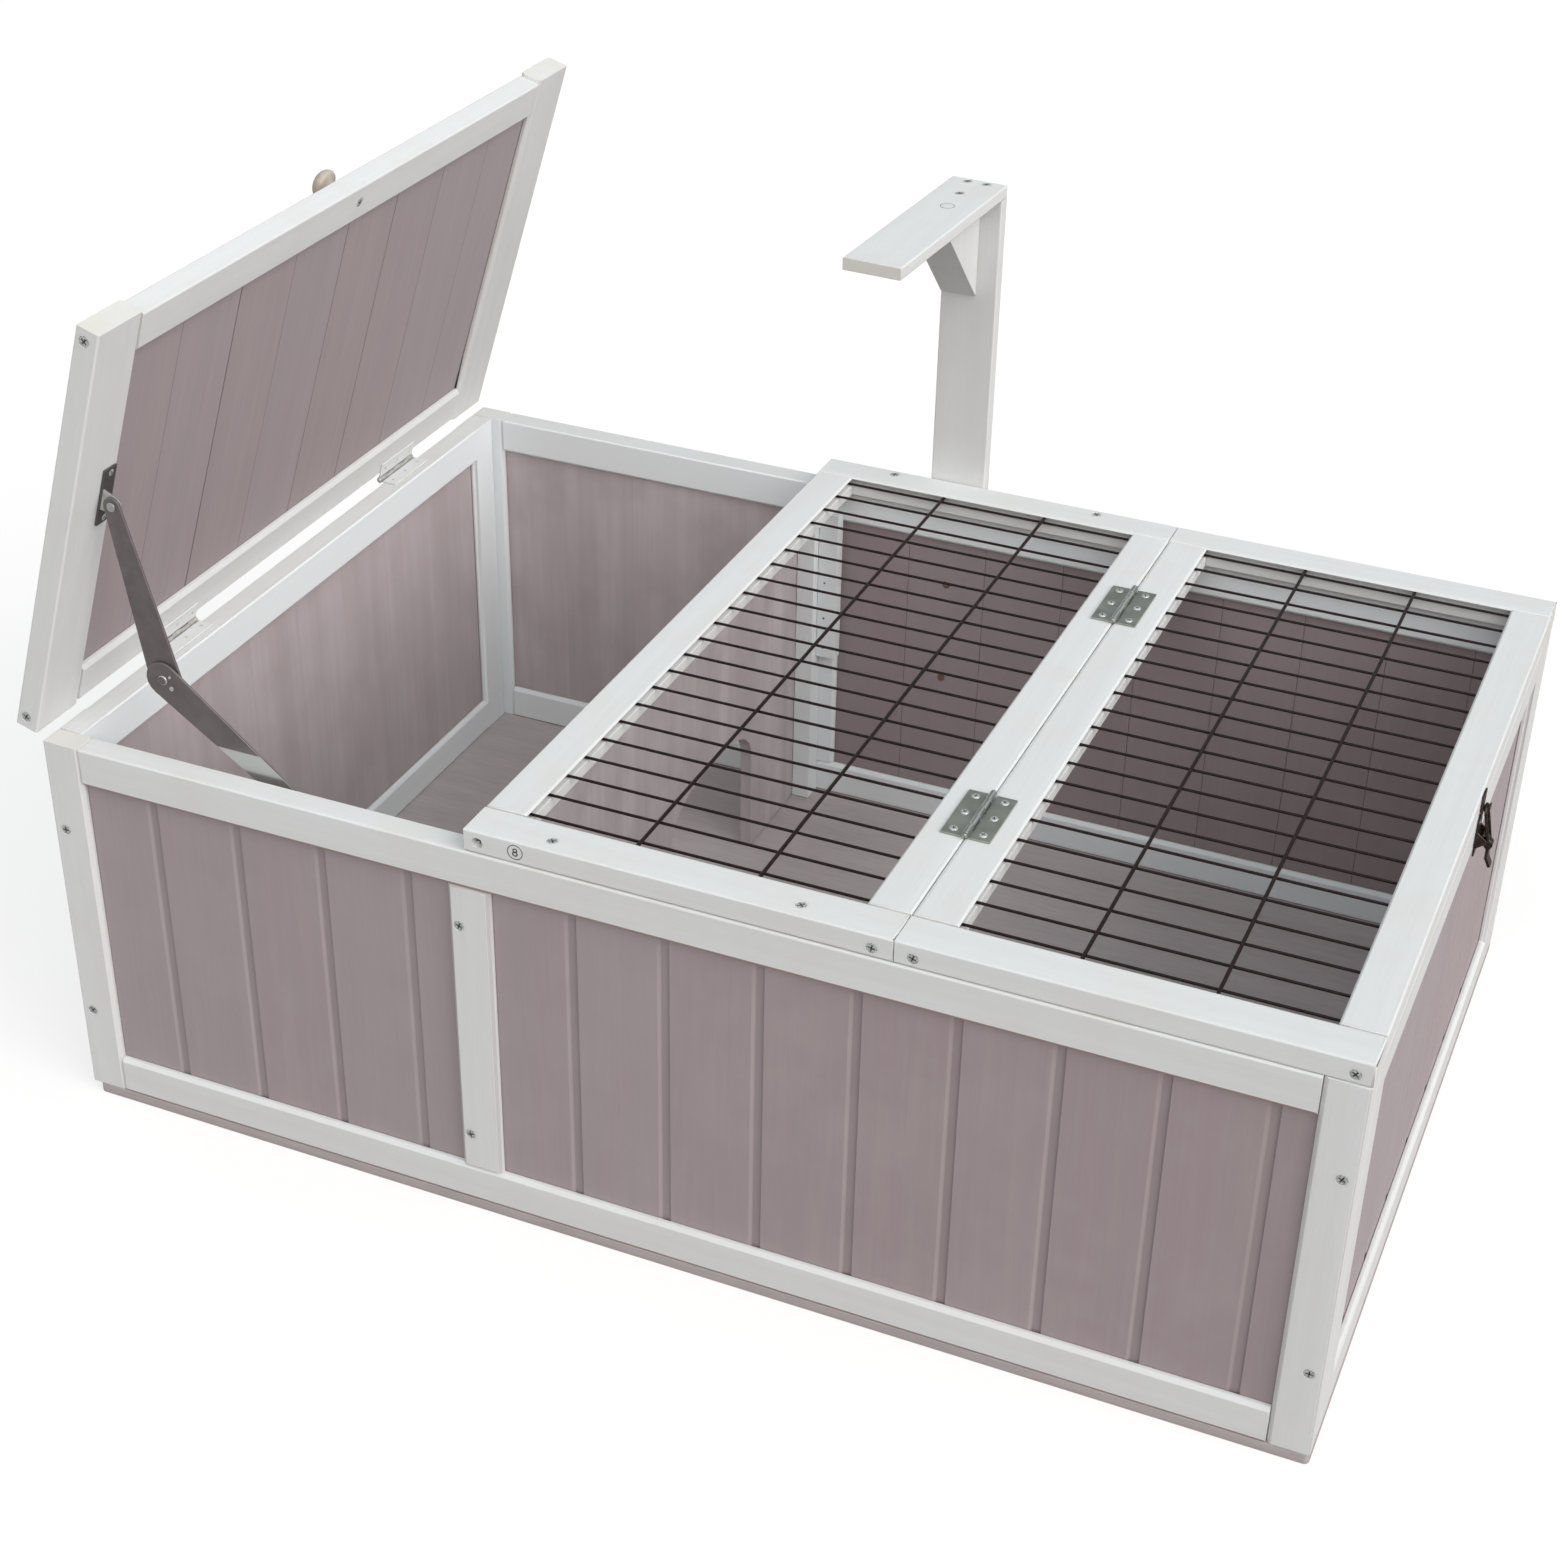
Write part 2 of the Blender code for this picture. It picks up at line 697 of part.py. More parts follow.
plain = member_outline(lid_thickness, lid_stile_width, arris, bay_arris)
slot = slot_outline(*lid_groove)
slot_start = rail_first + lid_rail_width - board_housing
slot_run = rail_last - lid_rail_width + board_housing - slot_start
for side, y, inward in (("front", 0, BACK), ("back", house_depth, FRONT)):
    bm = bmesh.new()
    stile_at = (lid_start, y, lid_face)
    add_prism(bm, plain, stile_at, UP, inward, RIGHT, stile_run)
    lid_stile = finish(f"lid_{side}_stile", bm, white_paint("lid" + side), lid_pivot, stile_at)
    bm = bmesh.new()
    slot_at = Vector((slot_start, y, lid_face)) + (lid_stile_width - board_housing) * inward
    add_prism(bm, slot, slot_at, UP, inward, RIGHT, slot_run)
    cut(lid_stile, bm, f"lid_{side}_groove")

rail = member_outline(lid_thickness, lid_rail_width, arris, bay_arris, lid_groove)
for name, x, inward in (("hinge", rail_first, RIGHT), ("free", rail_last, LEFT)):
    bm = bmesh.new()
    at = (x, lid_bay_front + seam, lid_face)
    add_prism(bm, rail, at, UP, inward, BACK, lid_bay_back - lid_bay_front - 2 * seam)
    finish(f"lid_{name}_rail", bm, white_paint("lid" + name), lid_pivot, at)

bm = bmesh.new()
at = (slot_start + board_end_gap, 0, lid_face + lid_board_recess + board_thickness)
lid_board_length = slot_run - 2 * board_end_gap
outline = boards_outline(lid_bay_front, lid_bay_back, lid_first_cover, lid_board_cover)
add_prism(bm, outline, at, BACK, DOWN, RIGHT, lid_board_length)
finish("lid_boards", bm, mauve_paint("lid"), lid_pivot, at)

# Mushroom knob, turned in one piece, on the outer face of the lid's free rail
knob_x = lid_length - knob_edge_inset
knob_y = house_depth / 2
knob_base = lid_face + lid_thickness + seam
knob_profile = [(knob_foot_radius, 0), (knob_foot_radius, knob_height * knob_foot_share)]
knob_profile += [(knob_neck_radius, knob_height * share) for share in knob_neck_shares]
crown_low = knob_height * knob_crown_share
for k in range(knob_crown_steps):
    angle = math.pi / 2 * k / knob_crown_steps
    crown_height = crown_low + (knob_height - crown_low) * math.sin(angle)
    knob_profile.append((knob_radius * math.cos(angle), crown_height))
knob_profile.append((0, knob_height))
bm = bmesh.new()
add_turned(bm, knob_profile, (knob_x, knob_y, knob_base), UP, knob_sides)
finish("lid_knob", bm, material("knob_wood", (0.55, 0.45, 0.35), 0.5), lid_pivot, smooth_angle=40)


def leaf_outline(width, below):
    """Section of a hinge leaf: a flat plate whose end is rolled round the pin.

    The pin is at (0, 0), the plate runs to a = width and its far face is at b = -below.
    """
    bore = pin_radius + pin_clearance
    near = below - leaf_thickness
    outer_start = -math.degrees(math.asin(min(1, below / barrel_radius)))
    inner_start = -math.degrees(math.asin(min(1, near / bore)))
    roll_end = 12
    outline = [(width, -below)]
    outline += arc((0, 0), barrel_radius, outer_start, roll_end - 360, barrel_steps)
    outline += arc((0, 0), bore, roll_end - 360, inner_start, barrel_steps)
    outline += [(width, -near)]
    return outline


def hinge_leaf(name, at, toward, up, width, below, length, first_gap, parent):
    """One leaf with its knuckles, cut away where the other leaf's knuckles go."""
    bm = bmesh.new()
    add_prism(bm, leaf_outline(width, below), at, toward, up, BACK, length)
    leaf = finish(name, bm, bright_metal(name), parent, at, smooth_angle=40)
    knuckle = length / knuckle_count
    reach = barrel_radius + seam
    window = [(-reach - overrun, -reach - overrun), (reach, -reach - overrun)]
    window += [(reach, reach + overrun), (-reach - overrun, reach + overrun)]
    bm = bmesh.new()
    for k in range(first_gap, knuckle_count, 2):
        start = -overrun if k == 0 else k * knuckle - seam / 2
        end = length + overrun if k == knuckle_count - 1 else (k + 1) * knuckle + seam / 2
        add_prism(bm, window, Vector(at) + start * BACK, toward, up, BACK, end - start)
    cut(leaf, bm, name + "_gaps")
    for share in hinge_screw_shares:
        hole_at = Vector(at) + hinge_screw_width_share * width * toward + share * length * BACK
        leaf_hole(name, hole_at - (below - leaf_thickness) * up, -up)
    return leaf


def pin_mesh(at, length, seat):
    """Pin with a rounded head at each end; seat is the gap from head to barrel."""
    heads = [(pin_head_radius * wide, seat + pin_head_length * far) for wide, far in pin_head_shares]
    profile = [(radius, -distance) for radius, distance in reversed(heads)]
    profile += [(pin_radius, -seat), (pin_radius, length + seat)]
    profile += [(radius, length + distance) for radius, distance in heads]
    bm = bmesh.new()
    add_turned(bm, profile, at, BACK, pin_sides)
    return bm


# Butt hinges of the lid, whose leaves lie face to face when the lid is shut
lid_leaf_drop = seam / 2 + leaf_thickness
for side, y in (("front", lid_hinge_front), ("back", lid_hinge_back)):
    wall_at = lid_axis + y * BACK
    size = (lid_hinge_width, lid_leaf_drop, lid_hinge_length)
    leaf = hinge_leaf(f"lid_hinge_wall_leaf_{side}", wall_at, RIGHT, UP, *size, 1, house)
    join(leaf, pin_mesh(wall_at, lid_hinge_length, -seam), f"lid_pin_{side}")
    hinge_leaf(f"lid_hinge_lid_leaf_{side}", y * BACK, RIGHT, DOWN, *size, 0, lid_pivot)

# Butt hinges of the wire door, screwed flat on top with the barrel over the gap
for side, y in (("front", door_hinge_front), ("back", door_hinge_back)):
    panel_at = door_axis + y * BACK
    size = (door_hinge_width, barrel_radius, door_hinge_length)
    hinge_leaf(f"door_hinge_panel_leaf_{side}", panel_at, LEFT, UP, *size, 1, house)
    hinge_leaf(f"door_hinge_door_leaf_{side}", y * BACK, RIGHT, UP, *size, 0, door_pivot)
    pin = pin_mesh(panel_at, door_hinge_length, seam)
    finish(f"door_hinge_pin_{side}", pin, bright_metal("door_pin"), house, panel_at, smooth_angle=40)


def bar_outline(length, first_radius, last_radius):
    """A flat bar with round ends of two sizes, joined by their tangents."""
    lean = math.degrees(math.acos((first_radius - last_radius) / length))
    outline = arc((0, 0), first_radius, lean, 360 - lean, stay_end_steps)
    outline += arc((length, 0), last_radius, -lean, lean, stay_end_steps)
    return outline


def drill(target, at, direction, radius, length, sides, name):
    """A round hole through a piece, starting a little before the given point."""
    bm = bmesh.new()
    hole = [(radius, -overrun), (radius, length + overrun)]
    add_turned(bm, hole, at, direction, sides)
    cut(target, bm, name)


# Planes of the stay, counted in from the inside of the front wall
stay_plate_y = wall_thickness + seam
stay_stud_end = stay_plate_y + stay_plate_thickness + stay_stud_length
lower_arm_y = stay_stud_end + seam
collar_y = lower_arm_y + stay_arm_thickness + seam
upper_arm_y = collar_y + stay_collar_thickness + seam
ear_y = upper_arm_y + stay_arm_thickness + seam
ear_back_y = ear_y + stay_plate_thickness

# Pivots of the stay in the plane it works in, as (x, z) pairs
lean = math.radians(lid_open_angle)
along_lid = Vector((math.cos(lean), math.sin(lean)))
out_of_lid = Vector((-math.sin(lean), math.cos(lean)))
stay_lid_offset = lid_face - stay_drop
lid_end = Vector((lid_axis.x, lid_axis.z)) + stay_reach * along_lid + stay_lid_offset * out_of_lid
wall_end = Vector((stay_wall_x, wall_height - stay_wall_below_top))
span = wall_end - lid_end
stay_arm_length = math.hypot(span.length / 2, stay_elbow_rise)
elbow = (lid_end + wall_end) / 2 + stay_elbow_rise * Vector((span.y, -span.x)).normalized()
upper_turn = -math.atan2(elbow.y - lid_end.y, elbow.x - lid_end.x)
lower_turn = -math.atan2(wall_end.y - elbow.y, wall_end.x - elbow.x)
upper_pivot = empty("upper_pivot", (stay_reach, 0, stay_lid_offset), lid_pivot, (0, upper_turn + lean, 0))
lower_pivot = empty("lower_pivot", (stay_arm_length, 0, 0), upper_pivot, (0, lower_turn - upper_turn, 0))

# Upper and lower arm, pressed from strip, each with an eye at the elbow
eye_radius = stay_rivet_radius + seam
bm = bmesh.new()
upper_outline = bar_outline(stay_arm_length, stay_pivot_end_radius, stay_elbow_radius)
add_prism(bm, upper_outline, upper_arm_y * BACK, RIGHT, UP, BACK, stay_arm_thickness)
upper_arm = finish("stay_upper_arm", bm, dark_metal("upper_arm"), upper_pivot)
eye_at = upper_arm_y * BACK
drill(upper_arm, eye_at, BACK, eye_radius, stay_arm_thickness, stay_end_steps, "upper_eye")

bm = bmesh.new()
lower_outline = bar_outline(stay_arm_length, stay_elbow_radius, stay_wall_end_radius)
add_prism(bm, lower_outline, lower_arm_y * BACK, RIGHT, UP, BACK, stay_arm_thickness)
lower_arm = finish("stay_lower_arm", bm, dark_metal("lower_arm"), lower_pivot)
eye_at = lower_arm_y * BACK
drill(lower_arm, eye_at, BACK, eye_radius, stay_arm_thickness, stay_end_steps, "lower_eye")
bm = bmesh.new()
boss = [(stay_rivet_head_radius, 0), (stay_rivet_head_radius, stay_arm_thickness / 2 + stay_rivet_head)]
boss_at = Vector((stay_arm_length, lower_arm_y + stay_arm_thickness / 2, 0))
add_turned(bm, boss, boss_at, BACK, stay_end_steps)
join(lower_arm, bm, "lower_end_rivet")

# Elbow rivet, set fast in the upper arm, with the collar that keeps the arms apart
head = stay_rivet_head_radius
crown = head * stay_rivet_crown_share
shank = stay_rivet_radius
head_y = lower_arm_y - seam
profile = [(crown, head_y - stay_rivet_head), (head, head_y - stay_rivet_head / 2)]
profile += [(head, head_y), (shank, head_y), (shank, collar_y), (head, collar_y)]
profile += [(head, ear_y), (crown, ear_y + stay_rivet_head)]
bm = bmesh.new()
add_turned(bm, profile, (stay_arm_length, 0, 0), BACK, stay_end_steps)
join(upper_arm, bm, "elbow_rivet")

# Bracket on the lid: a foot flat on the stile with an ear turned down at its front edge
foot_top = lid_face - seam
foot_low = foot_top - stay_plate_thickness
bm = bmesh.new()
foot_low_corner = (stay_reach - stay_foot_length / 2, ear_y, foot_low)
add_box(bm, foot_low_corner, (stay_reach + stay_foot_length / 2, ear_y + stay_foot_width, foot_top))
lid_bracket = finish("stay_lid_bracket", bm, bright_metal("lid_bracket"), lid_pivot, foot_low_corner)
ear_rise = foot_top - stay_lid_offset
half_ear = stay_ear_width / 2
ear = [(half_ear, ear_rise), (-half_ear, ear_rise)]
ear += arc((0, 0), stay_pivot_end_radius, 180, 360, stay_end_steps)
ear_at = Vector((stay_reach, ear_y, stay_lid_offset))
bm = bmesh.new()
add_prism(bm, ear, ear_at, RIGHT, UP, BACK, stay_plate_thickness)
join(lid_bracket, bm, "lid_ear")
profile = [(head, collar_y), (head, upper_arm_y - seam), (shank, upper_arm_y - seam), (shank, ear_y + seam)]
profile += [(head, ear_y + seam), (head, ear_back_y + stay_rivet_head / 2)]
profile += [(crown, ear_back_y + stay_rivet_head)]
bm = bmesh.new()
add_turned(bm, profile, (stay_reach, 0, stay_lid_offset), BACK, stay_end_steps)
join(lid_bracket, bm, "lid_rivet")
foot_screw_y = ear_back_y + (stay_foot_width - stay_plate_thickness) / 2
for side in (-1, 1):
    foot_screw_x = stay_reach + side * (stay_foot_length / 2 - 2 * leaf_hole_radius)
    leaf_hole("stay_lid_bracket", (foot_screw_x, foot_screw_y, foot_low), UP)

# Bracket on the wall: a plate with a stud that the lower arm works on
half_length = stay_wall_plate_length / 2
half_tall = stay_wall_plate_height / 2
corner = stay_wall_plate_height / 4
plate = arc((half_length - corner, half_tall - corner), corner, 0, 90, 3)
plate += arc((corner - half_length, half_tall - corner), corner, 90, 180, 3)
plate += arc((corner - half_length, corner - half_tall), corner, 180, 270, 3)
plate += arc((half_length - corner, corner - half_tall), corner, 270, 360, 3)
bm = bmesh.new()
bracket_at = Vector((wall_end.x, stay_plate_y, wall_end.y))
add_prism(bm, plate, bracket_at, RIGHT, UP, BACK, stay_plate_thickness)
wall_bracket = finish("stay_wall_bracket", bm, bright_metal("wall_bracket"), house, bracket_at)
bm = bmesh.new()
stud = [(stay_stud_radius, stay_plate_thickness / 2), (stay_stud_radius, stay_stud_end - stay_plate_y)]
add_turned(bm, stud, bracket_at, BACK, stay_end_steps)
join(wall_bracket, bm, "wall_stud")
for side in (-1, 1):
    hole_at = bracket_at + side * (half_length - corner) * RIGHT + stay_plate_thickness * BACK
    leaf_hole("stay_wall_bracket", hole_at, FRONT)

# Toggle latch: base with two ears and a pin, lever, loop and the catch on the wire door
latch_face = house_length + seam
latch_plate_face = latch_face + latch_plate_thickness
latch_front = latch_middle_y - latch_width / 2
latch_back = latch_middle_y + latch_width / 2
plate_top = wall_height - latch_plate_top_gap
pin_x = latch_face + latch_pin_out
pin_z = wall_height - latch_pin_below_top
bm = bmesh.new()
plate_low_corner = (latch_face, latch_front, plate_top - latch_plate_drop)
add_box(bm, plate_low_corner, (latch_plate_face, latch_back, plate_top))
latch_base = finish("latch_base", bm, dark_metal("latch_base"), house, plate_low_corner)
ear = [(latch_plate_thickness / 2, -latch_ear_height / 2)]
ear += arc((latch_pin_out, 0), latch_ear_radius, -latch_ear_arc, latch_ear_arc, latch_steps)
ear += [(latch_plate_thickness / 2, latch_ear_height / 2)]
bm = bmesh.new()
for y in (latch_front, latch_back - latch_plate_thickness):
    add_prism(bm, ear, (latch_face, y, pin_z), RIGHT, UP, BACK, latch_plate_thickness)
join(latch_base, bm, "latch_ears")
bm = bmesh.new()
pin_start = latch_front + latch_plate_thickness / 2
pin_run = latch_width - latch_plate_thickness
pin_profile = [(latch_pin_radius, 0), (latch_pin_radius, pin_run)]
add_turned(bm, pin_profile, (pin_x, pin_start, pin_z), BACK, latch_pin_sides)
join(latch_base, bm, "latch_pin")

lever_pivot = empty("lever_pivot", (pin_x, latch_middle_y, pin_z), house)
loop_pivot = empty("loop_pivot", (latch_loop_offset, 0, -latch_loop_offset), lever_pivot)
half_plate = latch_lever_thickness / 2
tail_x = latch_loop_offset
bend_z = -latch_lever_tail * latch_lever_bend_share
lever = arc((0, 0), latch_lever_boss, 45, 225, latch_steps)
lever += [(tail_x - half_plate, -2 * latch_loop_offset), (tail_x - half_plate, bend_z)]
lever += [(tail_x + latch_lever_curl - half_plate, -latch_lever_tail)]
lever += [(tail_x + latch_lever_curl + half_plate, -latch_lever_tail + half_plate)]
lever += [(tail_x + half_plate, bend_z + half_plate), (tail_x + half_plate, -2 * latch_loop_offset)]
lever += arc((tail_x, -tail_x), latch_lever_boss - seam, -20, 60, latch_steps)
bm = bmesh.new()
add_prism(bm, lever, -latch_lever_width / 2 * BACK, RIGHT, UP, BACK, latch_lever_width)
latch_lever = finish("latch_lever", bm, dark_metal("latch_lever"), lever_pivot)
lever_side = -latch_lever_width / 2 * BACK
hole = latch_pin_radius + seam
drill(latch_lever, lever_side, BACK, hole, latch_lever_width, latch_pin_sides, "lever_pin_hole")
loop_hole_at = lever_side + Vector((latch_loop_offset, 0, -latch_loop_offset))
hole = latch_wire_radius + seam
drill(latch_lever, loop_hole_at, BACK, hole, latch_lever_width, latch_pin_sides, "lever_loop_hole")

loop_half = latch_width / 2 - latch_plate_thickness - latch_wire_radius - 2 * seam
loop_curve = bpy.data.curves.new("latch_loop", "CURVE")
loop_curve.dimensions = "3D"
loop_curve.bevel_depth = latch_wire_radius
loop_curve.bevel_resolution = 1
loop_spline = loop_curve.splines.new("POLY")
loop_points = [(-loop_half, 0), (loop_half, 0)]
loop_points += arc((0, latch_loop_rise - loop_half), loop_half, 0, 180, latch_steps + 1)
loop_spline.points.add(len(loop_points) - 1)
for point, (y, z) in zip(loop_spline.points, loop_points):
    point.co = (0, y, z, 1)
loop_spline.use_cyclic_u = True
loop_curve.materials.append(dark_metal("latch_loop"))
latch_loop = bpy.data.objects.new("latch_loop", loop_curve)
bpy.context.collection.objects.link(latch_loop)
latch_loop.parent = loop_pivot

catch_low = panel_bottom + (panel_thickness - latch_catch_height) / 2
catch_at = Vector((latch_face, latch_middle_y - latch_catch_width / 2, catch_low))
bm = bmesh.new()
catch_high = (latch_plate_face, latch_middle_y + latch_catch_width / 2, catch_low + latch_catch_height)
add_box(bm, catch_at - door_axis, Vector(catch_high) - door_axis)
latch_catch = finish("latch_catch", bm, dark_metal("latch_catch"), door_pivot)
lip = [(latch_plate_thickness / 2, 0), (latch_catch_lip_reach + latch_plate_thickness, 0)]
lip += [(latch_catch_lip_reach + latch_plate_thickness, latch_catch_lip_rise)]
lip += [(latch_catch_lip_reach, latch_catch_lip_rise), (latch_catch_lip_reach, latch_plate_thickness)]
lip += [(latch_plate_thickness / 2, latch_plate_thickness)]
bm = bmesh.new()
lip_at = Vector((latch_face, latch_middle_y - latch_lever_width / 2, catch_low)) - door_axis
add_prism(bm, lip, lip_at, RIGHT, UP, BACK, latch_lever_width)
join(latch_catch, bm, "catch_lip")

# Lamp holder: post on the back wall, arm over the run and a gusset between them
post_front = house_depth + seam
post_back = post_front + lamp_post_thickness
post_top = lamp_arm_underside - seam
section = member_outline(lamp_post_thickness, lamp_post_width, lamp_arris, lamp_arris)
bm = bmesh.new()
post_at = (lamp_post_left, post_back, lamp_post_bottom)
add_prism(bm, section, post_at, FRONT, RIGHT, UP, post_top - lamp_post_bottom)
lamp_post = finish("lamp_post", bm, white_paint("lamp_post"), house, post_at)

section = member_outline(lamp_arm_thickness, lamp_post_width, lamp_arris, lamp_arris)
section = [(a, b - lamp_post_width / 2) for a, b in section]
bm = bmesh.new()
add_prism(bm, section, (0, 0, 0), UP, RIGHT, FRONT, lamp_arm_length)
lamp_arm = finish("lamp_arm", bm, white_paint("lamp_arm"), house)
lamp_arm.location = (lamp_post_left + lamp_post_width / 2, post_back, lamp_arm_underside)
lamp_arm.rotation_euler = (0, 0, math.radians(lamp_arm_turn))

gusset_corner = Vector((lamp_post_left + seam, post_front - seam, post_top))
gusset = [(0, 0), (gusset_leg, 0), (gusset_leg, lamp_arris), (lamp_arris, gusset_leg), (0, gusset_leg)]
bm = bmesh.new()
add_prism(bm, gusset, gusset_corner, FRONT, DOWN, RIGHT, gusset_width)
lamp_gusset = finish("lamp_gusset", bm, white_paint("gusset"), house, gusset_corner)

# Countersunk pockets of the screws that hold the walls, the divider and the wire panels
divider_screw_x = batten_left + batten_width * divider_screw_share
for side, y, inward in (("front", 0, BACK), ("back", house_depth, FRONT)):
    for z in (wall_screw_low, wall_screw_high):
        screw_pocket(f"{side}_left_post", (wall_screw_inset, y, z), inward)
        screw_pocket(f"{side}_right_post", (house_length - wall_screw_inset, y, z), inward)
    for z in (divider_screw_low, divider_screw_high):
        screw_pocket(f"{side}_mid_post", (divider_screw_x, y, z), inward)

panel_screw_z = panel_bottom + panel_screw_rise
for side, y, inward in (("front", panel_front, BACK), ("back", panel_back, FRONT)):
    rail_name = f"fixed_panel_{side}_rail"
    sunk_x = panel_left + panel_left_screw_inset
    sunk_z = panel_bottom + panel_left_screw_rise
    screw_pocket(rail_name, (sunk_x, y, sunk_z), inward, panel_screw_counterbore)
    right_x = fixed_right - panel_right_screw_inset
    screw_pocket(rail_name, (right_x, y, panel_screw_z), inward)
    for x in (door_left + panel_screw_inset, door_right - panel_screw_inset):
        screw_pocket(f"door_{side}_rail", Vector((x, y, panel_screw_z)) - door_axis, inward)
top_screw_front = panel_front + panel_top_screw_in
top_screw_back = panel_back - panel_top_screw_back_in
for side, y in (("front", top_screw_front), ("back", top_screw_back)):
    for k in range(2):
        x = panel_left + panel_top_screw_left + k * panel_top_screw_step
        screw_pocket(f"fixed_panel_{side}_rail", (x, y, panel_top), DOWN)

# Pockets of the lid's edge screws, and of the screw that holds the knob
lid_screw_height = lid_face + lid_screw_rise
for side, y, inward in (("front", 0, BACK), ("back", house_depth, FRONT)):
    for x in (lid_start + lid_screw_inset, lid_length - lid_screw_inset):
        screw_pocket(f"lid_{side}_stile", (x, y, lid_screw_height), inward)
screw_pocket("lid_free_rail", (knob_x, knob_y, lid_face), UP)

# Pockets of the lamp arm's three screws; the post is screwed on through the back boards
for step in (-1, 1):
    arm_screw = (step * lamp_arm_screw_spread / 2, -lamp_post_thickness / 2, lamp_arm_thickness)
    screw_pocket("lamp_arm", arm_screw, DOWN)
gusset_screw_y = -lamp_post_thickness - gusset_leg * gusset_screw_share
screw_pocket("lamp_arm", (gusset_screw_side, gusset_screw_y, lamp_arm_thickness), DOWN)
board_inside = house_depth - board_recess - board_thickness
for z in (lamp_screw_low, lamp_screw_high):
    screw_pocket("back_right_boards", (lamp_post_left + lamp_post_width / 2, board_inside, z), BACK)

# Holes of the latch's own screws
for side in (-1, 1):
    place = (latch_plate_face, latch_middle_y + side * latch_width / 4, plate_top - latch_width / 4)
    leaf_hole("latch_base", place, LEFT)
catch_screw_z = catch_low + latch_catch_height - latch_catch_width / 3
leaf_hole("latch_catch", Vector((latch_plate_face, latch_middle_y, catch_screw_z)) - door_axis, LEFT)

for piece_name, bores in screw_bores.items():
    piece = bpy.data.objects[piece_name]
    bm = bmesh.new()
    for profile, place, direction, sides in bores:
        add_turned(bm, profile, place, direction, sides)
    bore_cutter = cut(piece, bm, piece_name + "_bores")
    if piece is lamp_arm:
        bore_cutter.location = lamp_arm.location
        bore_cutter.rotation_euler = lamp_arm.rotation_euler
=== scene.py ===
import math
import random

import bmesh
import bpy
from mathutils import Matrix, Vector


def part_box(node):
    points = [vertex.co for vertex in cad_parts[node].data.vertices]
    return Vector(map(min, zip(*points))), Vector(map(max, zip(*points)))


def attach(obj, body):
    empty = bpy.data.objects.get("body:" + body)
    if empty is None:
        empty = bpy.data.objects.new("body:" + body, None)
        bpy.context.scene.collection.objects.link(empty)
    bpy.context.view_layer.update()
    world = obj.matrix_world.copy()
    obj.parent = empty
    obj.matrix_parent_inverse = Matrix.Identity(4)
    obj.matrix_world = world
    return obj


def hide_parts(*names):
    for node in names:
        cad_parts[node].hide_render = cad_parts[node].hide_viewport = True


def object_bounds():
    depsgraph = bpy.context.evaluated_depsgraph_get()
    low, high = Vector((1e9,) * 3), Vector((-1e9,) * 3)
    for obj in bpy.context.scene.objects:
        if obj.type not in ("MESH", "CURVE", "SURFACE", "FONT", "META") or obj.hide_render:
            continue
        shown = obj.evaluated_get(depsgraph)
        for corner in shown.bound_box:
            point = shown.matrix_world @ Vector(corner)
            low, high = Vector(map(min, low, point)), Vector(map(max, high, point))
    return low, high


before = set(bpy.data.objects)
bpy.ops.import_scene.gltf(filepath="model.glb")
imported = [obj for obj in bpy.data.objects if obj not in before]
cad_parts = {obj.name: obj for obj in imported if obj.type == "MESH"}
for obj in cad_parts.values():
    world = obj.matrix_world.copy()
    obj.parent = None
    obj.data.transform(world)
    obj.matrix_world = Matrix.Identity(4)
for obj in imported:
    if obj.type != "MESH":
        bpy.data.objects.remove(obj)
cad_low, cad_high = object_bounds()

# Studio
# A pale seamless floor and a white surround, lit softly from the right, the front and above.
# The camera stands in front of the right-hand corner and looks down into the open house.
camera_place = (0.5777, -1.4763, 1.1886)
camera_right = Vector((0.92064, 0.38984, 0.02143))
camera_down = Vector((0.22324, -0.48058, -0.84806))
camera_ahead = Vector((-0.32031, 0.78554, -0.52946))


def add_object(name, data):
    """A new object in the scene."""
    made = bpy.data.objects.new(name, data)
    bpy.context.scene.collection.objects.link(made)
    return made


def build(name, bm):
    """A new object made of a bmesh."""
    mesh = bpy.data.meshes.new(name)
    bm.to_mesh(mesh)
    bm.free()
    return add_object(name, mesh)


def new_finish(name):
    """A material, its node tree and the inputs of its shader."""
    made = bpy.data.materials.new(name)
    made.use_nodes = True
    return made, made.node_tree, made.node_tree.nodes["Principled BSDF"].inputs


def feed(tree, place, value):
    """Give a node's input a value or another node's output."""
    if isinstance(value, bpy.types.NodeSocket):
        tree.links.new(value, place)
    else:
        place.default_value = value


def maths(tree, operation, *values):
    """The result of a Math node."""
    node = tree.nodes.new("ShaderNodeMath")
    node.operation = operation
    for place, value in zip(node.inputs, values):
        feed(tree, place, value)
    return node.outputs[0]


camera_data = bpy.data.cameras.new("camera")
camera_data.lens = 60.59
camera_data.sensor_width = 36
camera_data.shift_x = -0.0109
camera_data.shift_y = 0.0023
camera = add_object("camera", camera_data)
turn = Matrix((camera_right, -camera_down, -camera_ahead)).transposed()
camera.matrix_world = Matrix.Translation(camera_place) @ turn.to_4x4()
bpy.context.scene.camera = camera
bpy.context.scene.view_settings.view_transform = "Standard"

